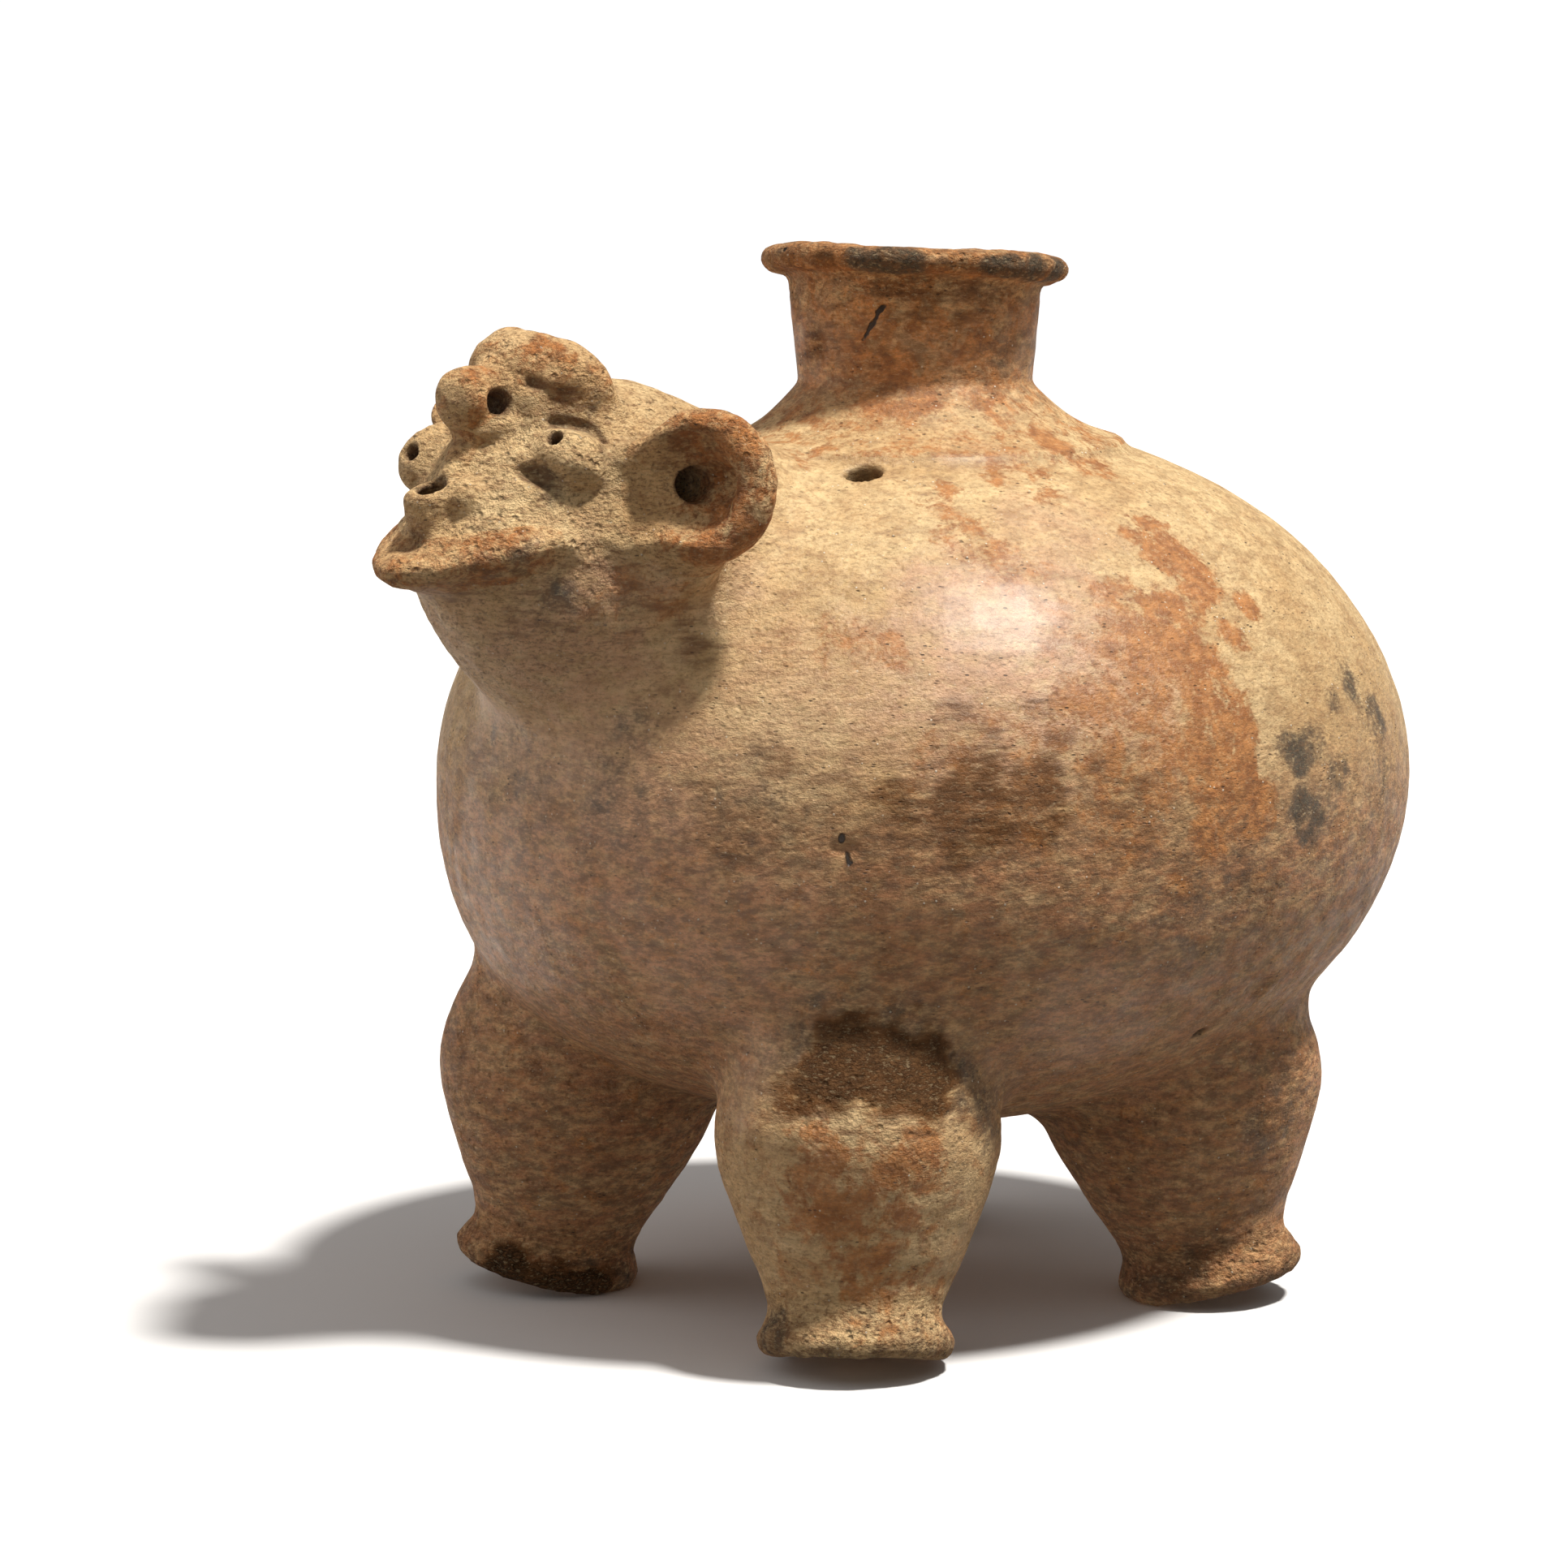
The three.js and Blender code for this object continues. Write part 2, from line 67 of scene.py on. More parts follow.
# Body: an egg on its side
body_length, body_width, body_top, body_bottom, body_z = 124, 115, 88.5, 84.3, 128.5
body_wall = 6.5
body_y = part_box("body_shell")[1][1] / MM - body_length
top_fullness, front_fullness, rear_fullness = 2, 2.45, 1.95

# Mouth collar and rim
neck_y = body_y - 3.5
bore, waist, waist_z, neck_top, neck_top_z = 24.5, 28.8, 225, 31.3, 250
skirt, skirt_edge, skirt_sweep = 50, 1.2, 2.6
rim_radius, rim_thickness, rim_tilt, rim_overlap = 37.2, 6.6, 3.4, 1.5

# Legs
legs_y, foot_ring, leg_tilt, sole_lift = body_y - 15.5, 83.4, 12.5, 3.2
leg_outline = [(20.2, 14.5), (26, 26), (33.3, 50), (28, 80), (21, 104)]
foot_outline = [(20.8, 0), (22.4, 1.6), (23, 4), (21.8, 6.4), (20.2, 9.2), (20.2, 14.5), (20.2, 17)]
leg_bow, leg_depth, leg_wall, leg_vent = 2.5, 0.06, 6, 4

# Head: a hollow gourd
head_y, head_z, head_tilt = body_y - 146.3, 214.3, 35
head_width, head_crown, head_throat, head_length, head_setback, head_wall = 42, 50, 41, 98, 7, 6
throat_radius = 27
head_shares = [(0, .1, .08, .2), (.015, .27, .25, .46), (.05, .44, .42, .61), (.11, .57, .56, .73),
               (.2, .7, .7, .83), (.33, .82, .83, .92), (.5, .92, .92, .98), (.75, 1, 1, 1.02),
               (1, 1.05, 1.02, 1.05)]

# Ears and eyes, in the head's frame, with the places of the left ones
ear_centre, ear_turn, ear_radius, ear_thickness, ear_rise = (47, 36.5, 14), 40, 16.4, 12, 1.07
ear_root, ear_root_length, ear_root_turn, ear_hole = 10.5, 19, 43, 4.2
eye_centre, eye_turn, eye_radius = (18, 19.5, 5.5), 35, 9

# Brow roll, with each half's length, sweep back and taper
crest_y, crest_z, crest_size, crest_wobble = 9.5, 26, 9, 0.3
crest_near, crest_far = (19.5, 11, 3), (16.5, 5.5, 2)

# Jaw ledge, mouth tube, nose knob and the column under it
jaw_half, jaw_y, jaw_z, jaw_sweep, jaw_rise, jaw_size = 27, 9.5, -29, 15.5, 20, (8, 4)
mouth_centre, mouth_tilt, mouth_radius, mouth_length = (0, 3, -11), 20, 7.6, 16
nose_top, nose_tip, nose_size = (0, 10, 21), (0, -4, 8), 5.6
column_top, column_foot, column_size, column_spread = (0, 6.4, 8), (0, 7.6, -10), 3.5, 1.6

# Half the seam between pieces, and how far the smeared clay reaches past the body's and head's form
half_seam, body_smear, head_smear = 0.15, 1.1, 1.0


def turned(axis, degrees):
    c, s = math.cos(math.radians(degrees)), math.sin(math.radians(degrees))
    matrix = np.eye(4)
    a, b = {"X": (1, 2), "Y": (2, 0), "Z": (0, 1)}[axis]
    matrix[a, a] = matrix[b, b] = c
    matrix[a, b], matrix[b, a] = -s, s
    return matrix


def moved(x, y, z):
    matrix = np.eye(4)
    matrix[:3, 3] = (x, y, z)
    return matrix


unturned = np.eye(4)
neck_at = moved(0, neck_y, 0)
rim_at = neck_at @ moved(0, 0, neck_top_z) @ turned("X", -rim_tilt)
head_at = moved(0, head_y, head_z) @ turned("X", -head_tilt)
mouth_at = head_at @ moved(*mouth_centre) @ turned("X", -mouth_tilt)


def leg_place(side, end):
    bearing = math.atan2(end, side)
    return (moved(foot_ring * math.cos(bearing), legs_y + foot_ring * math.sin(bearing), sole_lift)
            @ turned("Z", math.degrees(bearing)) @ turned("Y", -leg_tilt))


leg_sides = {"front_left": (1, -1), "front_right": (-1, -1), "rear_left": (1, 1), "rear_right": (-1, 1)}
leg_at = {name: leg_place(*sides) for name, sides in leg_sides.items()}


def on_side(side, x, y, z):
    return moved(side * x, y, z)


def ear_at(side):
    return head_at @ on_side(side, *ear_centre) @ turned("X", head_tilt) @ turned("Z", side * ear_turn)


def eye_at(side):
    return head_at @ on_side(side, *eye_centre) @ turned("Z", side * eye_turn)


# Closed forms as (points, triangles)

def around(steps):
    return np.linspace(0, 2 * np.pi, steps, endpoint=False)


def ring(half_x, half_y, z, steps):
    turn = around(steps)
    return np.stack([half_x * np.cos(turn), half_y * np.sin(turn), np.full(steps, z)], 1)


def loft(rings):
    """A skin over rings of points, closed at both ends."""
    rings = np.asarray(rings, float)
    count, steps = rings.shape[:2]
    points = np.concatenate([rings.reshape(-1, 3), rings[:1].mean(1), rings[-1:].mean(1)])
    here = np.arange(steps)
    after = (here + 1) % steps
    triangles = []
    for k in range(count - 1):
        low, high = k * steps, (k + 1) * steps
        triangles += [np.stack([low + here, low + after, high + after], 1),
                      np.stack([low + here, high + after, high + here], 1)]
    first, last = count * steps, count * steps + 1
    base = (count - 1) * steps
    triangles += [np.stack([np.full(steps, first), after, here], 1),
                  np.stack([np.full(steps, last), base + here, base + after], 1)]
    return points, np.concatenate(triangles)


def revolve(outline, steps=48):
    return loft([ring(r, r, z, steps) for r, z in outline])


def placed(form, matrix):
    points, triangles = form
    return points @ matrix[:3, :3].T + matrix[:3, 3], triangles


def curve(knots, count):
    """A smooth line through knots."""
    knots = np.array(knots, float)
    padded = np.concatenate([knots[:1], knots, knots[-1:]])
    found = []
    for i in range(len(knots) - 1):
        a, b, c, d = padded[i:i + 4]
        for t in np.linspace(0, 1, count, endpoint=False):
            found.append(0.5 * (2 * b + (c - a) * t + (2 * a - 5 * b + 4 * c - d) * t * t
                                + (3 * b - a - 3 * c + d) * t ** 3))
    return np.array(found + [knots[-1]])


def body_form(offset, steps=96, rows=48):
    latitude = np.linspace(-np.pi / 2, np.pi / 2, rows + 1)[1:-1]
    longitude = around(steps)
    rings = []
    for a in latitude:
        x, y, z = np.cos(a) * np.cos(longitude), np.cos(a) * np.sin(longitude), np.full(steps, np.sin(a))
        belly = front_fullness + (rear_fullness - front_fullness) * (1 + y) / 2
        fullness = np.where(z > 0, top_fullness, belly)
        swell = (np.hypot(x, y) ** fullness + np.abs(z) ** fullness) ** (-1 / fullness)
        height = np.where(z > 0, body_top, body_bottom) + offset
        rings.append(np.stack([x * swell * (body_width + offset),
                               y * swell * (body_length + offset) + body_y,
                               z * swell * height + body_z], 1))
    return loft(rings)


def shoulder_height(x, y):
    flat = np.hypot(x / body_width, (y - body_y) / body_length)
    return body_z + body_top * np.sqrt(np.maximum(1 - flat ** 2, 0))


def neck_form(steps=64):
    turn = around(steps)

    def at(radius, rise):
        x, y = radius * np.cos(turn), radius * np.sin(turn) + neck_y
        return np.stack([x, y, rise(x, y)], 1)

    rings = [at(skirt, lambda x, y: shoulder_height(x, y) - body_wall)]
    for share in np.linspace(1, 0, 14):
        rings.append(at(waist + share * (skirt - waist), lambda x, y: (
            shoulder_height(x, y) + skirt_edge
            + (waist_z - shoulder_height(x, y) - skirt_edge) * (1 - share) ** skirt_sweep)))
    for share in (0.33, 0.66, 1):
        rings.append(at(waist + share * (neck_top - waist),
                        lambda x, y: np.full(steps, waist_z + share * (neck_top_z - waist_z) + share)))
    return loft(rings)


def rim_form():
    shares = curve([(0.02, 0), (0.55, 0), (0.84, 0.06), (0.97, 0.28), (1, 0.55), (0.94, 0.83), (0.76, 0.98),
                    (0.4, 1.02), (0.1, 0.88), (0, 0.6), (0, 0.3), (0.02, 0)], 3)
    turn = around(96)
    wobble = 1 + 0.012 * np.sin(2 * turn + 1.1) + 0.008 * np.sin(5 * turn)
    inner = bore - rim_overlap
    rings = []
    for angle, grown in zip(turn, wobble):
        r = inner + shares[:-1, 0] * (rim_radius * grown - inner)
        z = shares[:-1, 1] * rim_thickness * (1 + 0.07 * math.sin(3 * angle + 0.6))
        rings.append(np.stack([r * math.cos(angle), r * math.sin(angle), z], 1))
    count, steps = len(rings), len(rings[0])
    here = np.arange(steps)
    after = (here + 1) % steps
    triangles = []
    for k in range(count):
        low, high = k * steps, ((k + 1) % count) * steps
        triangles += [np.stack([low + here, high + after, low + after], 1),
                      np.stack([low + here, high + here, high + after], 1)]
    return np.concatenate(rings), np.concatenate(triangles)


def head_form(offset, steps=64, extra=0.0):
    shares = curve(head_shares, 5)
    turn = around(steps)
    rise = np.cos(turn)
    rings = []
    for back, width, crown, throat in shares:
        height = np.where(rise > 0, crown * head_crown, throat * head_throat) + offset
        rings.append(np.stack([
            np.sin(turn) * max(width * head_width + offset, 0.3),
            np.full(steps, head_setback - offset + back * (head_length + extra)),
            rise * np.maximum(height, 0.3)], 1))
    return loft(rings)


def leg_form(offset, bottom, extra=0.0, steps=48):
    line = curve(leg_outline, 8)
    start = float(np.interp(bottom, line[:, 1], line[:, 0]))
    outline = [(start + offset, bottom)] + [(r + offset, z) for r, z in line if z > bottom]
    points, triangles = revolve(outline + [(line[-1, 0] + offset, line[-1, 1] + extra)], steps)
    rise = np.clip((points[:, 2] - leg_outline[0][1]) / (leg_outline[-1][1] - leg_outline[0][1]), 0, 1)
    swell = np.sin(np.pi * rise)
    points[:, 0] = points[:, 0] * (1 + leg_depth * swell) + leg_bow * swell
    return points, triangles


def pin(half_x, half_y, length, steps=32):
    return loft([ring(half_x, half_y, z, steps) for z in (-length / 2, length / 2)])


def egg(semi_x, semi_y, semi_z, steps=40, rows=20):
    points, triangles = revolve([(math.cos(a), math.sin(a))
                                 for a in np.linspace(-np.pi / 2, np.pi / 2, rows + 1)[1:-1]], steps)
    return points * (semi_x, semi_y, semi_z), triangles


def roll(spine, size, upward, steps=28, rows=26):
    """A roll of clay with rounded ends."""
    rings = []
    for i in range(rows + 1):
        t = (1 - math.cos(math.pi * (i + 0.3) / (rows + 0.6))) / 2
        ahead = spine(min(t + 0.01, 1)) - spine(max(t - 0.01, 0))
        ahead /= np.linalg.norm(ahead)
        across = np.cross(upward, ahead)
        across /= np.linalg.norm(across)
        up = np.cross(ahead, across)
        width, height = size(t)
        taper = math.sqrt(max(1 - (2 * t - 1) ** 6, 0))
        turn = around(steps)[:, None]
        rings.append(spine(t) + np.cos(turn) * across * width * taper + np.sin(turn) * up * height * taper)
    return loft(rings)


def straight(start, end):
    start, end = np.array(start, float), np.array(end, float)
    return lambda t: start + (end - start) * t


def even(*sizes):
    return lambda t: sizes


face_up = np.array([0, 0, 1.0])
face_out = np.array([0, 1.0, 0])
level_up = np.array([0, -math.sin(math.radians(head_tilt)), math.cos(math.radians(head_tilt))])


def between(start, end, thick, end_thick):
    return roll(straight(start, end), lambda t: (thick + (end_thick - thick) * t,) * 2, face_up, 20, 16)


def crest_form(offset):
    """The brow roll, longer and swept further back on the near side."""
    def spine(t):
        side = 2 * t - 1
        half, sweep, _ = crest_near if side > 0 else crest_far
        return np.array([half * side, crest_y + sweep * side * side, crest_z + side * side])

    def size(t):
        side = 2 * t - 1
        taper = (crest_near if side > 0 else crest_far)[2]
        thick = crest_size - taper * side * side + crest_wobble * math.sin(9 * t) + offset
        return thick, thick

    return roll(spine, size, face_up)


def jaw_form(offset):
    def spine(t):
        side = 2 * t - 1
        along = abs(side) ** 1.4
        return np.array([jaw_half * side, jaw_y + jaw_sweep * along, jaw_rise * along + jaw_z])

    return roll(spine, even(jaw_size[0] + offset, jaw_size[1] + offset), level_up)


def mouth_form(offset):
    shares = [(0.72, 0), (0.9, 0.04), (0.99, 0.14), (1, 0.4), (1.05, 0.75), (1.16, 1)]
    outline = [((mouth_radius + offset) * out, back * mouth_length - offset) for out, back in shares]
    return placed(revolve(outline, 40), turned("X", -90))


def nose_knob(offset):
    return roll(straight(nose_top, nose_tip), lambda t: (nose_size + offset + t,) * 2, face_up)


def nose_column(offset):
    return roll(straight(column_top, column_foot),
                lambda t: (column_size + column_spread * t * t + offset, column_size + offset), face_out)


def ear_form(offset):
    shares = [(0.3, 0), (0.62, 0.02), (0.84, 0.14), (0.96, 0.36), (1, 0.58), (0.98, 0.78), (0.9, 0.94),
              (0.78, 1), (0.3, 1)]
    points, triangles = revolve([((ear_radius + offset) * out, (ear_thickness + 2 * offset) * (up - 0.5))
                                 for out, up in shares], 56)
    points[:, 1] *= ear_rise
    return placed((points, triangles), turned("X", 90))


def eye_form(offset):
    return egg(*[eye_radius + offset] * 3)


class Clay:
    """A box of cells that hold the distance to the clay's skin, below zero inside."""

    def __init__(self, low, high, cell):
        self.low, self.cell = np.array(low, float), cell
        self.shape = np.ceil((np.array(high) - self.low) / cell).astype(int) + 1
        self.values = np.full(self.shape, reach, np.float32)

    def depths(self, form):
        points, triangles = form
        points = points - self.low
        first = np.clip(np.floor((points.min(0) - reach) / self.cell).astype(int), 0, self.shape)
        last = np.clip(np.ceil((points.max(0) + reach) / self.cell).astype(int) + 1, 0, self.shape)
        if (last - first).min() < 1:
            return None, None
        grid = openvdb.FloatGrid.createLevelSetFromPolygons(
            points.astype(np.float32), triangles=triangles.astype(np.uint32),
            transform=openvdb.createLinearTransform(self.cell), halfWidth=reach / self.cell)
        depths = np.empty(last - first, np.float32)
        grid.copyToArray(depths, ijk=tuple(int(i) for i in first))
        return tuple(slice(a, b) for a, b in zip(first, last)), np.clip(depths, -reach, reach)

    def add(self, form, blend, sign=1):
        """Melt a form into the clay."""
        where, depths = self.depths(form)
        if where:
            held = sign * self.values[where]
            near = np.maximum(blend - np.abs(held - depths), 0)
            self.values[where] = sign * (np.minimum(held, depths) - near * near / (4 * blend))

    def carve(self, form, blend):
        """Take a form out of the clay and round the edge."""
        self.add(form, blend, -1)

    def sample(self, points):
        places = np.clip((points - self.low) / self.cell, 0, np.array(self.shape) - 1.001)
        cells = places.astype(int)
        f = (places - cells).astype(np.float32)
        total = 0
        for corner in np.ndindex(2, 2, 2):
            share = np.abs(1 - np.array(corner, np.float32) - f).prod(1)
            total = total + share * self.values[tuple((cells + corner).T)]
        return total

    def skin(self):
        for axis in range(3):
            edge = [slice(None)] * 3
            for side in (0, -1):
                edge[axis] = side
                self.values[tuple(edge)] = reach
        grid = openvdb.FloatGrid(reach)
        grid.copyFromArray(self.values)
        points, quads = grid.convertToQuads(0.0)
        return points * self.cell + self.low, quads.astype(np.int64)


def noise(points, size, seed):
    """Smooth random values from -1 to 1 with features of a size, per point."""
    scaled = points / size
    cells = np.floor(scaled).astype(np.int64)
    f = scaled - cells
    f = f * f * (3 - 2 * f)
    total = np.zeros(len(points))
    for corner in np.ndindex(2, 2, 2):
        d = np.array(corner[::-1])
        key = ((cells + d) * (73856093, 19349663, 83492791)).sum(1) ^ (seed * 2654435761 + rng_seed)
        key = (key ^ (key >> 13)) * 1274126177 & 0xffffffff
        key = (key ^ (key >> 16)) * 2246822519 & 0xffffffff
        value = (key >> 8 & 0xffffff) / 0x7fffff - 1
        total += value * np.abs(1 - d - f).prod(1)
    return total


def ramp(value, low, high):
    """A smooth step from 0 at low to 1 at high."""
    t = np.clip((value - low) / (high - low), 0, 1)
    return t * t * (3 - 2 * t)


# Where the picture is taken from. Places in the picture are in pixels, across and down.
picture_size = 1932
focal_px = 5500
horizon_px = 656
view_azimuth, view_yaw, view_distance, view_height = math.radians(48), math.radians(1.68), 1100, 256.6
view_pitch = math.atan(horizon_px / focal_px)
view_place = np.array([view_distance * math.sin(view_azimuth),
                       neck_y - view_distance * math.cos(view_azimuth), view_height])
heading = view_azimuth + view_yaw
ahead = np.array([-math.sin(heading) * math.cos(view_pitch), math.cos(heading) * math.cos(view_pitch),
                  -math.sin(view_pitch)])
rightward = np.array([math.cos(heading), math.sin(heading), 0])
upward = np.cross(rightward, ahead)


def tree_of_nodes():
    """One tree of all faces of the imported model, to look along rays."""
    points, faces = [], []
    for piece in frame["nodes"].values():
        faces += [[i + len(points) for i in polygon.vertices] for polygon in piece.data.polygons]
        points += [v.co.copy() for v in piece.data.vertices]
    return BVHTree.FromPolygons(points, faces)


solid_tree = tree_of_nodes()


def seen_at(across, down):
    """The point of the jar that shows at a place in the picture."""
    middle = picture_size / 2
    aim = ahead * focal_px + rightward * (across - middle) - upward * (down - middle)
    hit = solid_tree.ray_cast(Vector(view_place * MM), Vector(aim / np.linalg.norm(aim)))[0]
    return np.array(hit) / MM if hit is not None else view_place + aim / focal_px * view_distance


# Places of marks in the picture
shoulder_hole_px = (1064, 583)
flank_hole_px = (1476, 1272)
chip_px = (1040, 1045)
spall_px = (1550, 1215)
brow_groove_px = [(648, 470), (668, 477), (686, 486), (700, 488)]
lid_groove_px = [(674, 520), (704, 523), (730, 530), (744, 549)]
# The near leg, painted paler as if lit from the front
painted_light_leg_px = (1060, 1500)
neck_crack_px = [(1087, 378), (1076, 398), (1063, 418)]
lip_crack_px = [(967, 306), (972, 338)]
chip_crack_px = [(1036, 1032), (1046, 1062)]
flank_crack_px = [(1240, 1000), (1290, 1050)]


# The whole vessel, and its head once more in finer cells

vessel = Clay((-119, -147, -5), (119, 147, 264), vessel_cell)
head = Clay((-71, -150, 112), (71, -22, 262), head_cell)


def square_to_body(point):
    """A frame at a point of the body with +Z outwards and +X level."""
    outward = np.array([point[0] / body_width ** 2, (point[1] - body_y) / body_length ** 2,
                        (point[2] - body_z) / (body_top if point[2] > body_z else body_bottom) ** 2])
    outward /= np.linalg.norm(outward)
    level = np.cross((0, 0, 1.0), outward)
    level /= np.linalg.norm(level)
    matrix = np.eye(4)
    matrix[:3, 0], matrix[:3, 1], matrix[:3, 2] = level, np.cross(outward, level), outward
    matrix[:3, 3] = point
    return matrix


leg_foot = leg_outline[0][1]
for clay in (vessel, head):
    clay.add(body_form(0), 0.1)
    clay.add(neck_form(), 5)
    clay.add(placed(head_form(0), head_at), 7)
    if clay is vessel:
        for matrix in leg_at.values():
            clay.add(placed(leg_form(0, leg_foot), matrix), 8)
            clay.add(placed(revolve(foot_outline), matrix), 3.5)
    clay.add(placed(rim_form(), rim_at), 2)
    clay.carve(placed(pin(bore, bore, 80, 64), moved(0, neck_y, 235)), 2)


def cut_body(form, blend, place, turn=0):
    vessel.carve(placed(form, square_to_body(seen_at(*place)) @ turned("Z", turn)), blend)


# Two pricked holes, a chip, a spall and a nick in one sole; then the floor cuts the soles flat
through_wall = 2 * body_wall + 4
cut_body(pin(4.6, 3.9, through_wall, 10), 0.8, shoulder_hole_px, 12)
cut_body(pin(1.8, 1.8, through_wall, 10), 0.6, flank_hole_px)
cut_body(egg(3.6, 1.1, 0.9), 0.8, chip_px)
cut_body(egg(5.2, 3.4, 1), 1.2, spall_px)
vessel.carve(placed(egg(3.2, 0.7, 2.4), leg_at["front_right"]), 0.5)
heights = vessel.low[2] + vessel.cell * np.arange(vessel.shape[2])
vessel.values = np.maximum(vessel.values, -heights[None, None, :].astype(np.float32))


# The face. Lumps and hollows are eggs: half sizes, place, and how far each melts into the rest.

lumps = {
    "under the brow": ((12, 4.5, 6.5), (3, 10.5, 18.5), 6),
    "top of the brow": ((4.5, 4, 3.6), (-8, 9, 31.5), 3),
    "far cheek": ((6.5, 6.5, 8.5), (-21.5, 12.5, 2.5), 3.5),
    "tip of the nose": ((7, 6.8, 7), (0, 0.7, 11.2), 2),
    "corner of the mouth": ((4.6, 4.4, 4.4), (8.2, 8, -9.8), 3),
}
ear_lumps = {
    "behind the cup": ((13, 7, 13), (-15, 4, -4), 6),
    "down to the cheek": ((12, 8, 11), (-9, 7, -14), 7),
}
ear_hollows = {
    "cup": ((10.6, 10, 12.8), (-2, -8.6, 0.4), 1.8),
    "way to the cheek": ((15, 9.6, 12), (-15, -8.6, -1), 4),
    "pit": ((7.4, 5.6, 5.2), (0.8, -1, 0.9), 1.4),
}

# Cheeks and chin as rolls, the wings of the nose, and the tube of the mouth: ends and thicknesses
far_cheek, chin, near_cheek, cheek_size, chin_size = (-17, 19, -14), (0, 12, -22), (19, 20, -12), 6, 7
wing_start, wing_end, wing_sizes = np.array([1, 4, 5.4]), np.array([9.5, 10.5, 11]), (3.3, 3)
tube_start, tube_end, tube_sizes = (0, 11, -18), (0.3, 2.2, -10.4), (6.8, 6.6)

# Holes pricked with a stick, as half width, half height and length
nostril, pupil, eye_pit = (2.9, 2.8, 13), (1.9, 1.9, 26), (2.1, 1.9, 6)
mouth_pit, mouth_bore = (3.2, 4.2, 24), (2.7, 2.4, 44)


def press(form, blend, matrix=head_at):
    head.add(placed(form, matrix), blend)


def cut(form, blend, matrix=head_at):
    head.carve(placed(form, matrix), blend)


def lump(name):
    size, place, blend = lumps[name]
    press(egg(*size), blend, head_at @ moved(*place))


def ear_clay(side):
    """An ear on its root: a thick disc, cupped in front, open to the cheek and pierced."""
    ear = ear_at(side)
    turn = math.radians(ear_root_turn)
    root_end = ear_root_length * np.array([-side * math.sin(turn), math.cos(turn), 0])
    press(ear_form(0), 5, ear)
    press(between((0, 0, 0), root_end, ear_root, ear_root), 5, ear)
    for size, place, blend in ear_lumps.values():
        press(egg(*size), blend, ear @ on_side(side, *place))
    for size, place, blend in ear_hollows.values():
        cut(egg(*size), blend, ear @ on_side(side, *place))
    cut(pin(ear_hole, ear_hole, 31, 20), 1.2,
        ear @ turned("Z", side * ear_root_turn) @ moved(0, 12.5, 0) @ turned("X", 90))


def groove(places, depth):
    """Draw a groove along a line of places in the picture."""
    line = curve([seen_at(*place) for place in places], 8)
    steps = np.linspace(0, 1, len(line))

    def spine(t):
        return np.array([np.interp(t, steps, line[:, k]) for k in range(3)])

    cut(roll(spine, even(depth, depth), np.array([0, 0.4, 0.9]), 16, 40), 1.5, unturned)


press(between(far_cheek, chin, cheek_size, chin_size), 6)
press(between(chin, near_cheek, chin_size, cheek_size), 6)
press(jaw_form(0), 6)
press(crest_form(0), 8)
lump("under the brow")
lump("top of the brow")
for side in (1, -1):
    ear_clay(side)
    press(egg(9, 6.8, 7), 2, eye_at(side) @ on_side(side, 2.5, -3.9, 2.1))
lump("far cheek")
press(nose_column(0), 3)
press(nose_knob(0), 5)
lump("tip of the nose")
for side in (1, -1):
    press(between(wing_start * (side, 1, 1), wing_end * (side, 1, 1), *wing_sizes), 2)
press(between(tube_start, tube_end, *tube_sizes), 1.8)
lump("corner of the mouth")

# Creases under the brow, the dent beside it, the hollow under the near eye, nostrils and pupils
for side in (1, -1):
    cut(between((side * 7, 6.2, 20.6), (side * 15, 13, 22.6), 0.8, 1.8), 1.5)
    cut(egg(8, 2, 4), 3.5, head_at @ on_side(side, 22, 13.4, 17.6) @ turned("Z", side * 35))
    if side > 0:
        cut(egg(8.2, 4.8, 2.6), 1.4, head_at @ moved(21.6, 11.6, 0.2) @ turned("Z", 38))
    cut(pin(*nostril), 0.8,
        head_at @ on_side(side, 5.4, 3.6, 12.8) @ turned("Z", side * -24) @ turned("Y", side * 84))
    cut(pin(*pupil), 0.8,
        head_at @ on_side(side, 21.5, 13.6, 8.9) @ turned("Z", side * 20) @ turned("X", 90))
groove(brow_groove_px, 1.4)
groove(lid_groove_px, 0.9)
cut(pin(*eye_pit), 1, head_at @ moved(-21, 7.5, 0.6) @ turned("X", 90))
cut(pin(*mouth_pit), 0.9, head_at @ moved(-4.2, 9.6, -15.4) @ turned("Z", 36) @ turned("X", 62))
cut(pin(*mouth_bore), 0.6, mouth_at @ turned("X", 88))


def roughness_of(points):
    """How sandy and worn the clay is: the head, lip and feet most, the burnished body least."""
    local = (points - head_at[:3, 3]) @ head_at[:3, :3]
    on_head = ramp(local[:, 1], 78, 30) * ramp(points[:, 2], 130, 165)
    on_lip = ramp(points[:, 2], 236, 250)
    on_feet = ramp(points[:, 2], 26, 8)
    on_legs = 0.3 * ramp(points[:, 2], 112, 70)
    return np.clip(0.12 + on_head + on_lip + on_feet + on_legs, 0, 1)


def worn(points, quads):
    """Push the skin in and out the way fingers, burnishing and wear leave it."""
    corners = points[quads]
    across = np.cross(corners[:, 2] - corners[:, 0], corners[:, 3] - corners[:, 1])
    normals = np.zeros_like(points)
    for k in range(4):
        np.add.at(normals, quads[:, k], across)
    normals /= np.maximum(np.linalg.norm(normals, axis=1, keepdims=True), 1e-9)
    wavy = 0.42 * noise(points, 44, 1) + 0.2 * noise(points, 19, 2) + 0.1 * noise(points * (1, 1, 2.6), 11, 3)
    gritty = 0.22 * noise(points, 7.5, 6) + 0.26 * noise(points, 4.2, 4) + 0.18 * noise(points, 2.1, 5)
    pushed = points + normals * (wavy + roughness_of(points) * gritty)[:, None]
    pushed[:, 2] = np.maximum(pushed[:, 2], 0)
    return pushed


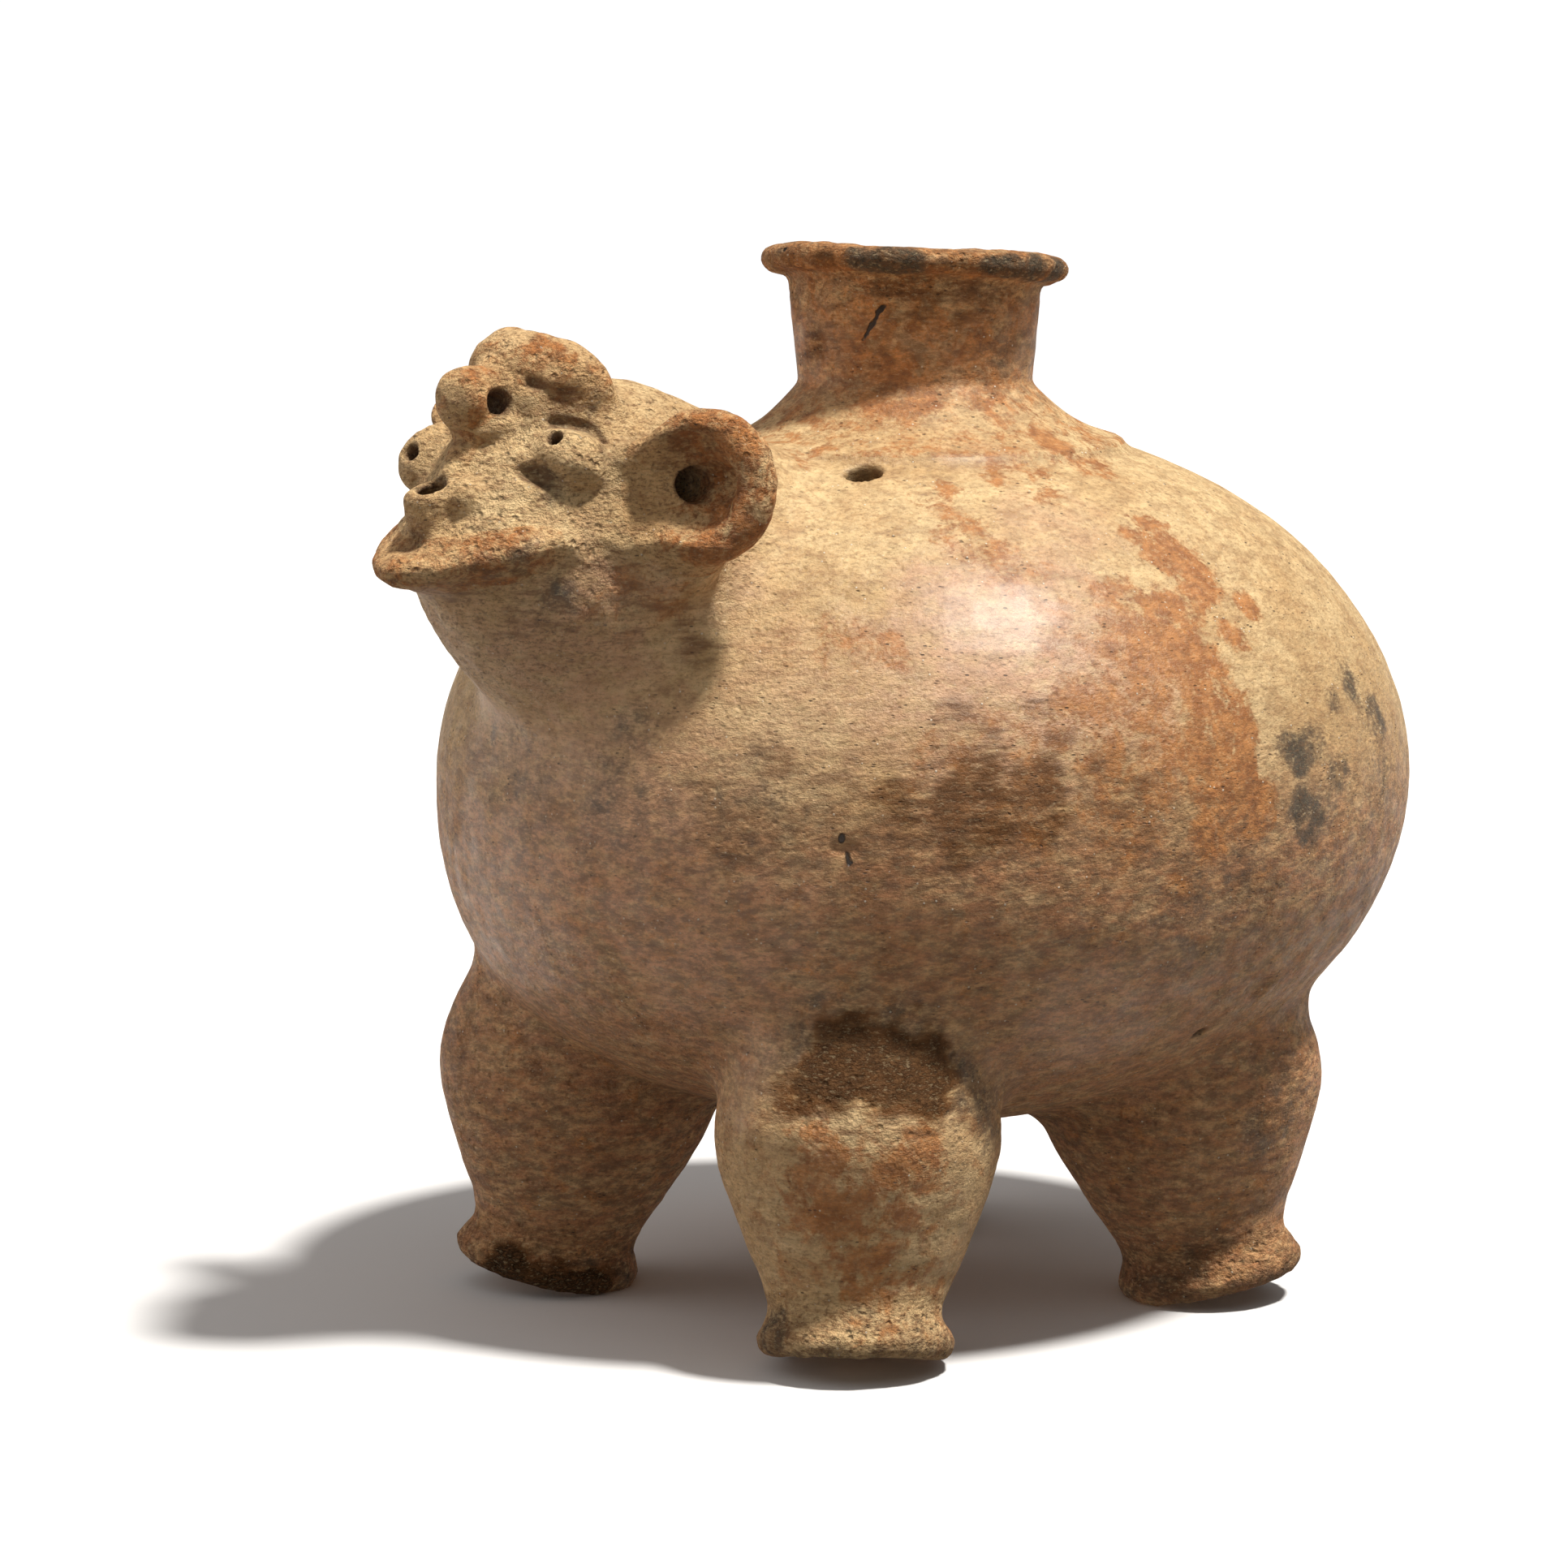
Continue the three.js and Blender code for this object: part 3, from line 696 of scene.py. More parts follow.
# Meshes, and cutting the skin into the jar's pieces

def mesh_object(name, points, faces):
    mesh = bpy.data.meshes.new(name)
    mesh.from_pydata((np.asarray(points) * MM).tolist(), [], np.asarray(faces).tolist())
    mesh.update()
    made = bpy.data.objects.new(name, mesh)
    bpy.context.scene.collection.objects.link(made)
    return made


scraps = []


def scrap(made):
    scraps.append(made)
    return made


def tool(form, matrix=unturned):
    return scrap(mesh_object("tool", *placed(form, matrix)))


def block(low, high, matrix=unturned):
    xs, ys, zs = zip(low, high)
    corners = np.array([(x, y, z) for x in xs for y in ys for z in zs], float)
    faces = [(0, 1, 3), (0, 3, 2), (4, 6, 7), (4, 7, 5), (0, 4, 5), (0, 5, 1), (2, 3, 7), (2, 7, 6),
             (0, 2, 6), (0, 6, 4), (1, 5, 7), (1, 7, 3)]
    return tool((corners, np.array(faces)), matrix)


def apply_modifiers(made):
    graph = bpy.context.evaluated_depsgraph_get()
    mesh = bpy.data.meshes.new_from_object(made.evaluated_get(graph))
    made.modifiers.clear()
    made.data = mesh


def shaped(base, *steps):
    """A copy of base after steps such as ("-", tool), ("&", tool) or ("+", tool)."""
    made = bpy.data.objects.new("piece", base.data.copy())
    bpy.context.scene.collection.objects.link(made)
    for sign, other in steps:
        change = made.modifiers.new("cut", "BOOLEAN")
        change.operation = {"-": "DIFFERENCE", "&": "INTERSECT", "+": "UNION"}[sign]
        change.solver = "MANIFOLD"
        change.object = other
    apply_modifiers(made)
    return made


def less(*others):
    return [("-", other) for other in others]


def skin_of(clay):
    points, quads = clay.skin()
    return tool((worn(points, quads), quads))


whole = skin_of(vessel)
face = skin_of(head)

body_reach = tool(body_form(body_smear, 64, 32))
head_reach = tool(head_form(head_smear, 48), head_at)
neck_room = scrap(shaped(tool(revolve([(60, 190), (60, 300)]), neck_at), *less(head_reach)))
above_rim = block((-60, -60, half_seam), (60, 60, 40), rim_at)
rest = scrap(shaped(whole, *less(body_reach)))


def quarter(side, end):
    """The quarter of the room under the body in which one leg stands."""
    across, along = sorted((0, side * 140)), sorted((legs_y, end * 170))
    return block((across[0], along[0], -20), (across[1], along[1], 118))


# The body is hollow and open to the head and the legs
leg_root = leg_outline[-1][1]
throat = placed(pin(throat_radius, throat_radius, head_length), turned("X", 90))
vents = [tool(pin(leg_vent, leg_vent, 100), matrix @ moved(0, 0, leg_root)) for matrix in leg_at.values()]
pieces = {}
pieces["body_shell"] = shaped(
    whole, ("&", body_reach),
    *less(tool(body_form(-body_wall, 48, 24)), tool(throat, head_at @ moved(0, head_length, 0)), *vents))
pieces["neck_collar"] = shaped(rest, ("&", neck_room), *less(above_rim))
pieces["rim_lip"] = shaped(rest, ("&", above_rim))
for name, matrix in leg_at.items():
    room = quarter(*leg_sides[name])
    foot_part = block((-45, -45, -20), (45, 45, leg_foot + half_seam), matrix)
    leg_hollow = tool(leg_form(-leg_wall, 20.5, leg_wall, 24), matrix)
    pieces[f"leg_{name}"] = shaped(rest, ("&", room), *less(foot_part, leg_hollow))
    pieces[f"foot_{name}"] = shaped(rest, ("&", room), ("&", foot_part))

face_part = scrap(shaped(face, *less(body_reach, neck_room)))
grown = {}


def feature(name, matrix, form, *more):
    """Keep the room of a lump of the face outside the head, after those kept before it."""
    room = tool(form, matrix)
    for other in more:
        room = scrap(shaped(room, ("+", tool(other, matrix))))
    grown[name] = scrap(shaped(room, *less(head_reach, *grown.values())))


feature("jaw_ledge", head_at, jaw_form(3))
feature("crest", head_at, crest_form(3.2))
feature("mouth_spout", mouth_at, mouth_form(2.4))
feature("nose", head_at, nose_knob(2.4), nose_column(2.4))
for name, side in (("left", 1), ("right", -1)):
    feature(f"eye_{name}", eye_at(side), eye_form(2.2))
    feature(f"ear_{name}", ear_at(side), ear_form(3.6))
for name, room in grown.items():
    pieces[name] = shaped(face_part, ("&", room))
head_hollow = tool(head_form(-head_wall, 48, head_wall), head_at)
pieces["head_shell"] = shaped(face_part, *less(head_hollow, *grown.values()))


def keep_largest(mesh):
    """Drop the loose crumbs that the cuts left."""
    edges = np.empty(len(mesh.edges) * 2, np.int64)
    mesh.edges.foreach_get("vertices", edges)
    a, b = edges[::2], edges[1::2]
    label, before = np.arange(len(mesh.vertices)), None
    while before is None or (label != before).any():
        before = label.copy()
        lowest = np.minimum(label[a], label[b])
        np.minimum.at(label, a, lowest)
        np.minimum.at(label, b, lowest)
        label = label[label]
    names, sizes = np.unique(label, return_counts=True)
    kept = names[sizes.argmax()]
    if len(names) > 1:
        work = bmesh.new()
        work.from_mesh(mesh)
        work.verts.ensure_lookup_table()
        bmesh.ops.delete(work, geom=[work.verts[i] for i in np.nonzero(label != kept)[0]], context="VERTS")
        work.to_mesh(mesh)
        work.free()


def keep_skin_normals(piece, source):
    """Shade the outside as the uncut skin is shaded, so that no seam shows where a piece was cut."""
    copy = piece.modifiers.new("normals", "DATA_TRANSFER")
    copy.object = source
    copy.use_loop_data = True
    copy.data_types_loops = {"CUSTOM_NORMAL"}
    copy.loop_mapping = "POLYINTERP_NEAREST"
    copy.use_max_distance = True
    copy.max_distance = 0.05 * MM
    old = piece.data
    apply_modifiers(piece)
    bpy.data.meshes.remove(old)


# Where the clay is rusty, burnished pink, stained or sooted, and where shade is painted on, by area of the
# jar:
# the middle of each mark in the picture, across and down in pixels, its radius in millimetres and its
# strength.
# The stain and soot marks are partly painted shade: over the near leg under the belly, on the left foot,
# under the lip, under the jaw ledge and in the brow hollow.
marks = {}
marks["rust", "mouth"] = [
    (1050, 430, 10, .6), (1110, 470, 11, .75), (1200, 440, 13, .7), (1240, 400, 9, .6), (1160, 480, 9, .6),
    (1290, 480, 6, .5), (1000, 400, 7, .3)]
marks["rust", "head"] = [
    (660, 425, 5, .7), (692, 432, 6, .65), (555, 500, 7, .35), (930, 620, 8, .5), (780, 740, 12, .45),
    (750, 700, 8, .3), (580, 700, 9, .3)]
marks["rust", "body"] = [
    (1300, 555, 9, .7), (1345, 575, 8, .8), (1420, 660, 9, .85), (1450, 690, 9, .95), (1475, 720, 7, .9),
    (1540, 750, 5, .9), (1515, 780, 6, .9), (1260, 590, 13, .55), (1160, 610, 8, .5), (1180, 660, 10, .45),
    (1240, 690, 10, .5), (1050, 785, 7, .55), (1090, 800, 6, .5), (990, 790, 10, .3), (1440, 770, 12, .85),
    (1470, 830, 15, .95), (1500, 880, 13, .9), (1400, 800, 12, .85), (1350, 860, 12, .7), (1390, 740, 9, .7),
    (1310, 780, 10, .5), (1420, 860, 12, .7), (1500, 950, 13, .85), (1530, 1000, 11, .95),
    (1440, 930, 15, .6), (1370, 970, 13, .6), (1500, 1020, 9, .8), (1250, 990, 14, .5), (1300, 930, 16, .45),
    (1180, 950, 14, .4), (1380, 1010, 12, .5), (1470, 1090, 9, .4), (1480, 1240, 14, .25)]
marks["rust", "legs"] = [
    (1020, 1430, 9, .75), (1005, 1490, 11, .85), (1060, 1500, 13, .75), (1120, 1440, 11, .8),
    (1110, 1500, 12, .75), (1060, 1560, 12, .65), (1130, 1580, 10, .5), (1080, 1620, 8, .5),
    (1200, 1640, 6, .4), (1140, 1680, 7, .5), (700, 1430, 12, .3), (1540, 1480, 12, .3)]
marks["pink", "body"] = [
    (1230, 760, 26, .8), (1290, 830, 24, .9), (1340, 740, 18, .6), (1100, 850, 22, .5), (1200, 880, 24, .8),
    (1380, 860, 18, .7), (1300, 660, 16, .5), (950, 850, 18, .4), (1200, 560, 10, .3), (880, 720, 14, .3),
    (860, 1180, 30, .6), (1350, 1250, 24, .5), (770, 960, 30, .6), (640, 1100, 34, .6), (700, 820, 26, .7),
    (620, 900, 20, .6), (560, 760, 16, .5), (660, 1230, 20, .5)]
# Stains on the neck and rim, partly painted shade under the lip
marks["stain_and_shade", "mouth"] = [
    (1000, 425, 7, .95), (980, 380, 6, .7), (1120, 360, 9, .7), (1200, 370, 7, .6), (980, 420, 8, .6),
    (1020, 400, 8, .5), (1060, 450, 8, .45), (1250, 430, 7, .4), (1010, 316, 5, .8), (1180, 340, 5, .6)]
# Stains on the head, partly painted shade under the jaw ledge and below the ear
marks["stain_and_shade", "head"] = [
    (700, 490, 5, .5), (515, 560, 5, .6), (510, 590, 4, .6), (560, 500, 5, .3), (650, 760, 10, .5),
    (560, 720, 6, .5), (720, 720, 7, .5), (810, 760, 9, .5), (860, 800, 9, .55), (830, 560, 6, .5)]
# A dark band round the body and patches low on it, partly stain and partly painted shade
marks["stain_and_shade", "body"] = [
    (1200, 1000, 13, .95), (1100, 985, 11, .85), (1280, 985, 11, .85), (1345, 955, 9, .6), (1030, 960, 8, .5),
    (1220, 990, 9, .95), (1290, 1010, 8, .85), (1140, 1005, 8, .8), (1060, 1010, 9, .6), (1380, 960, 9, .6),
    (880, 960, 9, .4), (1200, 930, 13, .6), (1130, 1040, 10, .5), (1290, 900, 10, .5), (960, 930, 9, .5),
    (1400, 1020, 8, .5), (900, 1030, 9, .4), (600, 950, 12, .5), (1550, 1100, 13, .6), (1690, 1060, 8, .5),
    (800, 1180, 14, .35), (1000, 1150, 12, .4), (1150, 1200, 13, .35), (1300, 1180, 12, .4),
    (1430, 1150, 10, .4), (740, 1300, 9, .4), (680, 1260, 12, .35)]
# Mostly painted shadow: the crease under the belly over the near leg, the left foot and the shaded sides of
# the other legs
marks["stain_and_shade", "legs"] = [
    (1040, 1312, 14, 1.25), (1130, 1322, 14, 1.25), (985, 1336, 9, .95), (1080, 1340, 16, .6),
    (1200, 1370, 8, .7), (960, 1360, 7, .6), (970, 1640, 6, .6), (620, 1590, 10, 1.6), (680, 1595, 10, 1.6),
    (730, 1590, 8, 1.4), (600, 1590, 9, .95), (650, 1590, 10, 1), (700, 1590, 10, .95), (750, 1580, 8, .8),
    (560, 1300, 9, .5), (600, 1450, 9, .45), (1570, 1380, 9, .7), (1560, 1450, 10, .6), (1590, 1330, 8, .6),
    (1500, 1560, 9, .6), (1440, 1580, 8, .6), (1480, 1330, 9, .35)]
marks["soot_and_shade", "mouth"] = [
    (1055, 318, 4, .9), (1080, 322, 4, .9), (1105, 326, 5, .9), (1130, 328, 4, .8), (1160, 330, 4, .5),
    (1220, 330, 4, .9), (1245, 330, 5, .95), (1275, 332, 5, .9), (1300, 335, 5, .9), (965, 320, 4, .5),
    (1000, 405, 5, .4), (1230, 430, 7, .3)]
# Painted shade in the brow hollow, under the near eye and under the jaw ledge
marks["soot_and_shade", "head"] = [
    (735, 492, 5, .6), (700, 488, 4, .5), (680, 595, 6, .4), (600, 700, 5, .4), (640, 690, 5, .4),
    (690, 730, 6, .5)]
# Fire clouds on the right flank, and darker patches on the chest below the head and low on the right
marks["soot_and_shade", "body"] = [
    (1600, 925, 7, .75), (1620, 910, 6, .6), (1645, 950, 6, .6), (1610, 1000, 8, .8), (1630, 985, 6, .6),
    (1665, 850, 8, .6), (1690, 880, 7, .6), (1640, 860, 5, .4), (1700, 980, 10, .4), (1500, 1110, 20, .3),
    (760, 960, 16, .35), (920, 1000, 16, .3), (640, 950, 20, .3)]
# Painted shade over the near leg and on the left foot, with some soot
marks["soot_and_shade", "legs"] = [
    (1080, 1300, 18, .5), (1180, 1330, 12, .5), (990, 1310, 12, .45), (1220, 1370, 9, .5), (950, 1640, 8, .5),
    (1060, 1640, 7, .4), (1120, 1645, 6, .5), (1180, 1640, 5, .4), (1560, 1380, 10, .45),
    (1480, 1560, 10, .4), (1570, 1330, 8, .4), (600, 1600, 12, .5)]
mark_seeds = {"rust": 11, "pink": 21, "soot_and_shade": 31, "stain_and_shade": 51}

# Slip left on a whole piece, and how red the mouth of the jar is
slip_left = {"crest": .3, "nose": .45, "jaw_ledge": .45, "rim_lip": .6, "neck_collar": .45}
redness = {"neck_collar": .75, "rim_lip": .7}


def painted(points, kind):
    """How strongly a kind of mark shows at each point, with a ragged edge."""
    seed = mark_seeds[kind]
    ragged = (0.3 * noise(points, 13, seed) + 0.26 * noise(points, 5.5, seed + 1)
              + 0.14 * noise(points, 2.6, seed + 2))
    total = np.zeros(len(points))
    spots = [spot for (its_kind, area), group in marks.items() if its_kind == kind for spot in group]
    for across, down, radius, strength in spots:
        away = np.linalg.norm(points - seen_at(across, down), axis=1) / radius
        total = np.maximum(total, strength * ramp(away + ragged, 1.35, 0.45))
    return total


def slip_on(node, points):
    """Worn slip, on the ears mostly on their outer half."""
    low_down = ramp(points[:, 2], 138, 112) * .22
    if node in ("ear_left", "ear_right"):
        side = 1 if node == "ear_left" else -1
        ear = ear_at(side)
        outwards = (points - ear[:3, 3]) @ ear[:3, 0] * side
        return np.maximum(.2 + .45 * ramp(outwards, -13, 2), low_down)
    return np.maximum(slip_left.get(node, 0), low_down)


def belly_on(node, points):
    """The redder clay of the belly and the mouth, less of it on the near leg: a painted light that keeps that
    leg paler.
    """
    from_leg = np.linalg.norm(points - seen_at(*painted_light_leg_px), axis=1)
    low = ramp(points[:, 2], 156, 116) * (1 - .85 * ramp(from_leg, 56, 30))
    return np.maximum(low, redness.get(node, 0) * ramp(points[:, 2], 214, 228))


def vectors_of(mesh, key):
    values = np.empty(len(mesh.vertices) * 3, np.float32)
    mesh.vertices.foreach_get(key, values)
    return values.reshape(-1, 3)


def paint(node, mesh):
    """Store on a piece's points what its clay is like there, and the shade painted on it."""
    points, normals = vectors_of(mesh, "co").astype(float) / MM, vectors_of(mesh, "normal")
    clay = head if node in grown or node == "head_shell" else vessel
    open_air = np.minimum(*(clay.sample(points + normals * away) / away for away in (2.4, 5)))
    under_head = .35 * (node == "head_shell") * ramp(points[:, 2], 188, 165)
    # The feet darker towards the floor
    on_feet = ramp(points[:, 2], 20, 4) * .42
    for name, values in {
            "rust": np.maximum(painted(points, "rust"), slip_on(node, points)),
            "pink": np.maximum(painted(points, "pink"), under_head),
            "soot_and_shade": np.maximum(painted(points, "soot_and_shade"), on_feet),
            "stain_and_shade": painted(points, "stain_and_shade"),
            # Painted shade: darker where the clay closes in round the skin, in hollows, creases and under
            # overhangs
            "hollow_shade": ramp(open_air, 0.86, 0.28),
            "sandy": roughness_of(points),
            "belly": belly_on(node, points)}.items():
        layer = mesh.attributes.new(name, "FLOAT", "POINT")
        layer.data.foreach_set("value", values.astype(np.float32))


def crack(places, *widths):
    """The stretches of a crack, each with its two ends and its width in millimetres."""
    ends = [tuple(seen_at(*place)) for place in places]
    return list(zip(ends, ends[1:], widths))


crack_lines = (crack(neck_crack_px, 0.75, 0.65) + crack(lip_crack_px, 0.7)
               + crack(chip_crack_px, 0.9) + crack(flank_crack_px, 0.5))


# Clay: one recipe, tuned for each slot of the record

# Colours of the clay and its marks; the stain, soot, deep shade and hollow tones also stand for painted shade
tones = {
    "buff": (0.56, 0.36, 0.165, 1), "pale buff": (0.66, 0.465, 0.235, 1), "brown": (0.43, 0.255, 0.11, 1),
    "red": (0.35, 0.16, 0.07, 1), "pink": (0.52, 0.275, 0.155, 1), "streak": (0.33, 0.175, 0.075, 1),
    "rust": (0.31, 0.115, 0.032, 1), "pale rust": (0.47, 0.2, 0.062, 1), "stain_and_shade": (0.135, 0.055, 0.017, 1),
    "painted_deep_shade": (0.02, 0.01, 0.004, 1), "soot_and_shade": (0.075, 0.055, 0.034, 1), "hollow_shade": (0.1, 0.055, 0.026, 1),
    "dark sand": (0.24, 0.12, 0.05, 1), "pale sand": (0.86, 0.66, 0.38, 1), "grit": (0.17, 0.085, 0.035, 1),
    "pore": (0.05, 0.028, 0.014, 1), "crumb": (0.86, 0.76, 0.6, 1), "crack": (0.03, 0.017, 0.01, 1),
}


def node_maker(owner):
    """Clear the nodes of a material or the air, and return what adds a node to them."""
    owner.use_nodes = True
    tree = owner.node_tree
    tree.nodes.clear()

    def node(kind, inputs=(), **settings):
        made = tree.nodes.new("ShaderNode" + kind)
        for key, value in settings.items():
            setattr(made, key, value)
        for key, value in dict(inputs).items():
            socket = made.inputs[key]
            if isinstance(value, bpy.types.NodeSocket):
                tree.links.new(value, socket)
            else:
                socket.default_value = value
        return made

    return node


def clay_material(name, tint, rust_share, roughness):
    """Sandy clay under slip, stains, soot and painted shade, which lie where the piece's attributes put them.
    """
    material = bpy.data.materials.new(name)
    node = node_maker(material)

    def maths(operation, a, b=0.0, clamp=False):
        return node("Math", {0: a, 1: b}, operation=operation, use_clamp=clamp).outputs[0]

    def plus(a, b):
        return maths("ADD", a, b)

    def minus(a, b):
        return maths("SUBTRACT", a, b)

    def times(a, *others):
        for b in others:
            a = maths("MULTIPLY", a, b)
        return a

    def spread(value, low, high, to_low=0.0, to_high=1.0):
        return node("MapRange", {0: value, 1: low, 2: high, 3: to_low, 4: to_high},
                    interpolation_type="SMOOTHSTEP").outputs[0]

    def blend(share, under, over, how="MIX"):
        made = node("Mix", {0: share, 6: under, 7: over}, data_type="RGBA", blend_type=how)
        return made.outputs[2]

    def attribute(key):
        return node("Attribute", attribute_name=key).outputs["Fac"]

    place = node("TexCoord").outputs["Object"]

    def mapped(scale, turn=(0, 0, 0)):
        return node("Mapping", {"Vector": place, "Scale": scale, "Rotation": turn}).outputs[0]

    mm = mapped((1000, 1000, 1000))
    streaky = mapped((300, 300, 1500))
    slanting = mapped((420, 420, 900), (0.5, 0.35, 0))
    brushed = mapped((560, 560, 1350), (0.12, -0.1, 0))

    def grain(size, vector=mm, detail=2.0, rough=0.5, warp=0.0):
        return node("TexNoise", {"Vector": vector, "Scale": 1 / size, "Detail": detail,
                                 "Roughness": rough, "Distortion": warp}).outputs["Fac"]

    def specks(size, low, high, vector=mm):
        far = node("TexVoronoi", {"Vector": vector, "Scale": 1 / size}, feature="F1").outputs["Distance"]
        return spread(far, low, high, 1.0, 0.0)

    rust, pink, soot_and_shade, stain_and_shade, hollow_shade, sandy, belly = (
        attribute(key) for key in ("rust", "pink", "soot_and_shade", "stain_and_shade", "hollow_shade", "sandy", "belly"))

    def vector_maths(operation, a, b, output=0):
        return node("VectorMath", {0: a, 1: b}, operation=operation).outputs[output]

    cracks = 0.0
    wander = times(minus(grain(2.4, detail=2), 0.5), 2.2)
    for start, end, width in crack_lines:
        along = tuple(b - a for a, b in zip(start, end))
        offset = vector_maths("SUBTRACT", mm, start)
        share = maths("MULTIPLY", vector_maths("DOT_PRODUCT", offset, along, "Value"),
                      1 / sum(v * v for v in along), clamp=True)
        nearest = node("VectorMath", {0: along, "Scale": share}, operation="SCALE").outputs[0]
        away = vector_maths("DISTANCE", offset, nearest, "Value")
        cracks = maths("MAXIMUM", cracks, spread(plus(away, wander), width * 0.45, width, 1.0, 0.0))

    broad = grain(30, detail=3)
    coarse = grain(6)
    patchy = grain(7, detail=5, rough=0.66, warp=0.5)
    fleck = grain(0.95, brushed, detail=3, rough=0.72)
    fine = grain(1.3, detail=4, rough=0.7)
    wiped = grain(3.2, streaky, detail=3, rough=0.6)
    blotch = grain(3.4, slanting, detail=4, rough=0.68)

    # The clay and its slip, from the ground up, then stains, soot and painted shade
    flakes = plus(patchy, times(minus(fine, 0.5), 0.45))
    rusty = times(spread(plus(flakes, times(rust, 0.4)), 0.6, 0.84), rust_share)
    rust_tone = blend(spread(grain(3.5, detail=3), 0.35, 0.65), tones["rust"], tones["pale rust"])
    tone_of = {**tones, "mixed rust": rust_tone}
    stain_and_shade_pattern = plus(plus(times(wiped, 1.1), times(blotch, 0.6)), times(stain_and_shade, 0.55))
    soot_and_shade_pattern = plus(plus(grain(5.5, detail=4, rough=0.65), times(minus(fleck, 0.5), 0.5)), times(soot_and_shade, 0.5))
    clear_of_stain_and_shade = spread(stain_and_shade, 0.7, 1.1, 1.0, 0.0)
    colour = blend(spread(broad, 0.36, 0.64), tones["buff"], tones["pale buff"])
    layers = [
        (times(spread(patchy, 0.45, 0.62), 0.55), "brown"),
        (times(belly, spread(blotch, 0.34, 0.62, 0.5, 1.0)), "red"),
        (times(pink, spread(blotch, 0.36, 0.58, 0.35, 0.95)), "pink"),
        (times(spread(wiped, 0.5, 0.66), 0.42), "streak"),
        (times(rusty, spread(rust, 0.0, 0.3)), "mixed rust"),
        # Stains, with painted shade
        (times(spread(stain_and_shade_pattern, 0.95, 1.52), spread(stain_and_shade, 0.0, 0.3)), "stain_and_shade"),
        # Painted deep shadow where the stain and shade marks are strongest
        (times(spread(stain_and_shade, 0.9, 1.4), 0.85), "painted_deep_shade"),
        # Soot, with painted shade
        (times(spread(soot_and_shade_pattern, 0.55, 0.98), spread(soot_and_shade, 0.0, 0.3), clear_of_stain_and_shade), "soot_and_shade"),
        # Painted shade in hollows and creases
        (times(hollow_shade, spread(grain(2.6, detail=3), 0.2, 0.6, 0.5, 0.9)), "hollow_shade")]
    for share, tone in layers:
        colour = blend(share, colour, tone_of[tone])

    # Light and dark mottling, strongest on the belly
    mottle = spread(grain(1.9, slanting, detail=5, rough=0.78), 0.36, 0.64, -0.5, 0.5)
    mottle = plus(times(mottle, plus(times(belly, 0.75), 0.25)), plus(times(sandy, 0.24), 1.0))
    colour = blend(1.0, colour, mottle, "MULTIPLY")

    # Sand, pores, pale crumbs and cracks
    sand = maths("MAXIMUM", sandy, 0.62)
    pores = times(specks(1.5, 0.09, 0.24, brushed), spread(coarse, 0.46, 0.68))
    crumbs = times(specks(2.2, 0.07, 0.15), spread(coarse, 0.5, 0.62), spread(stain_and_shade, 0.3, 0.9, 1.0, 0.0))
    specks_on_top = [
        (times(spread(fleck, 0.48, 0.66), sand, 0.72), "dark sand"),
        (times(spread(fleck, 0.47, 0.3), sand, 0.36), "pale sand"),
        (times(spread(fine, 0.53, 0.68), sand, 0.62), "grit"),
        (times(pores, 0.8), "pore"),
        (times(crumbs, 0.75), "crumb"),
        (cracks, "crack")]
    for share, tone in specks_on_top:
        colour = blend(share, colour, tone_of[tone])
    colour = blend(1.0, colour, tint, "MULTIPLY")

    # Relief, as heights and how much each counts
    pits = times(specks(2.4, 0.1, 0.42), spread(grain(4.5), 0.4, 0.62))
    bumps = 0.0
    heights = [
        (grain(0.8, detail=3, rough=0.7), plus(times(sandy, 0.75), 0.14)),
        (fleck, plus(times(sandy, 0.45), 0.18)),
        (grain(2.6, detail=4, rough=0.6), times(sandy, 1.5)),
        (wiped, 0.14),
        (grain(9, detail=2), 0.25),
        (pits, plus(times(sandy, -0.9), -0.05)),
        (pores, -0.25),
        (cracks, -1.0),
        (crumbs, 0.12)]
    for height, weight in heights:
        bumps = plus(bumps, times(height, weight))
    relief = node("Bump", {"Strength": 1.0, "Distance": 1.1 * MM, "Height": bumps}).outputs[0]

    dull = spread(grain(6, detail=3), 0.3, 0.7, roughness - 0.07, roughness + 0.1)
    dull = maths("ADD", minus(dull, times(pink, 0.13)), times(sandy, 0.22), clamp=True)
    skin = node("BsdfPrincipled", {"Base Color": colour, "Roughness": dull, "Normal": relief,
                                   "Specular IOR Level": spread(stain_and_shade, 0.4, 1.1, 0.42, 0.1),
                                   "Coat Weight": times(pink, 0.35), "Coat Roughness": 0.34})
    node("OutputMaterial", {"Surface": skin.outputs[0]})
    return material


looks = {"buff_clay": ((1, 1, 1, 1), 1.0, 0.56), "slip_clay": ((0.96, 0.9, 0.86, 1), 1.0, 0.64),
         "sooted_clay": ((0.88, 0.86, 0.84, 1), 0.9, 0.7)}
clays = {slot: clay_material(slot, *look) for slot, look in looks.items()}
slots = {part["node"]: part.get("material_slot") for part in frame["record"].get("subparts", [])}

whole.data.shade_smooth()
face.data.shade_smooth()
for node_name, piece in pieces.items():
    keep_largest(piece.data)
    piece.data.shade_smooth()
    piece.data.set_sharp_from_angle(angle=math.radians(42))
    keep_skin_normals(piece, face if node_name in grown or node_name == "head_shell" else whole)
    piece.name = piece.data.name = f"{node_name}_clay"
    paint(node_name, piece.data)
    slot = slots.get(node_name) or "buff_clay"
    piece.data.materials.clear()
    piece.data.materials.append(clays[slot])
    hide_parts(node_name)
    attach(piece, "root")

for made in scraps:
    mesh = made.data
    bpy.data.objects.remove(made)
    bpy.data.meshes.remove(mesh)

# The pale floor, which throws no light back on the jar

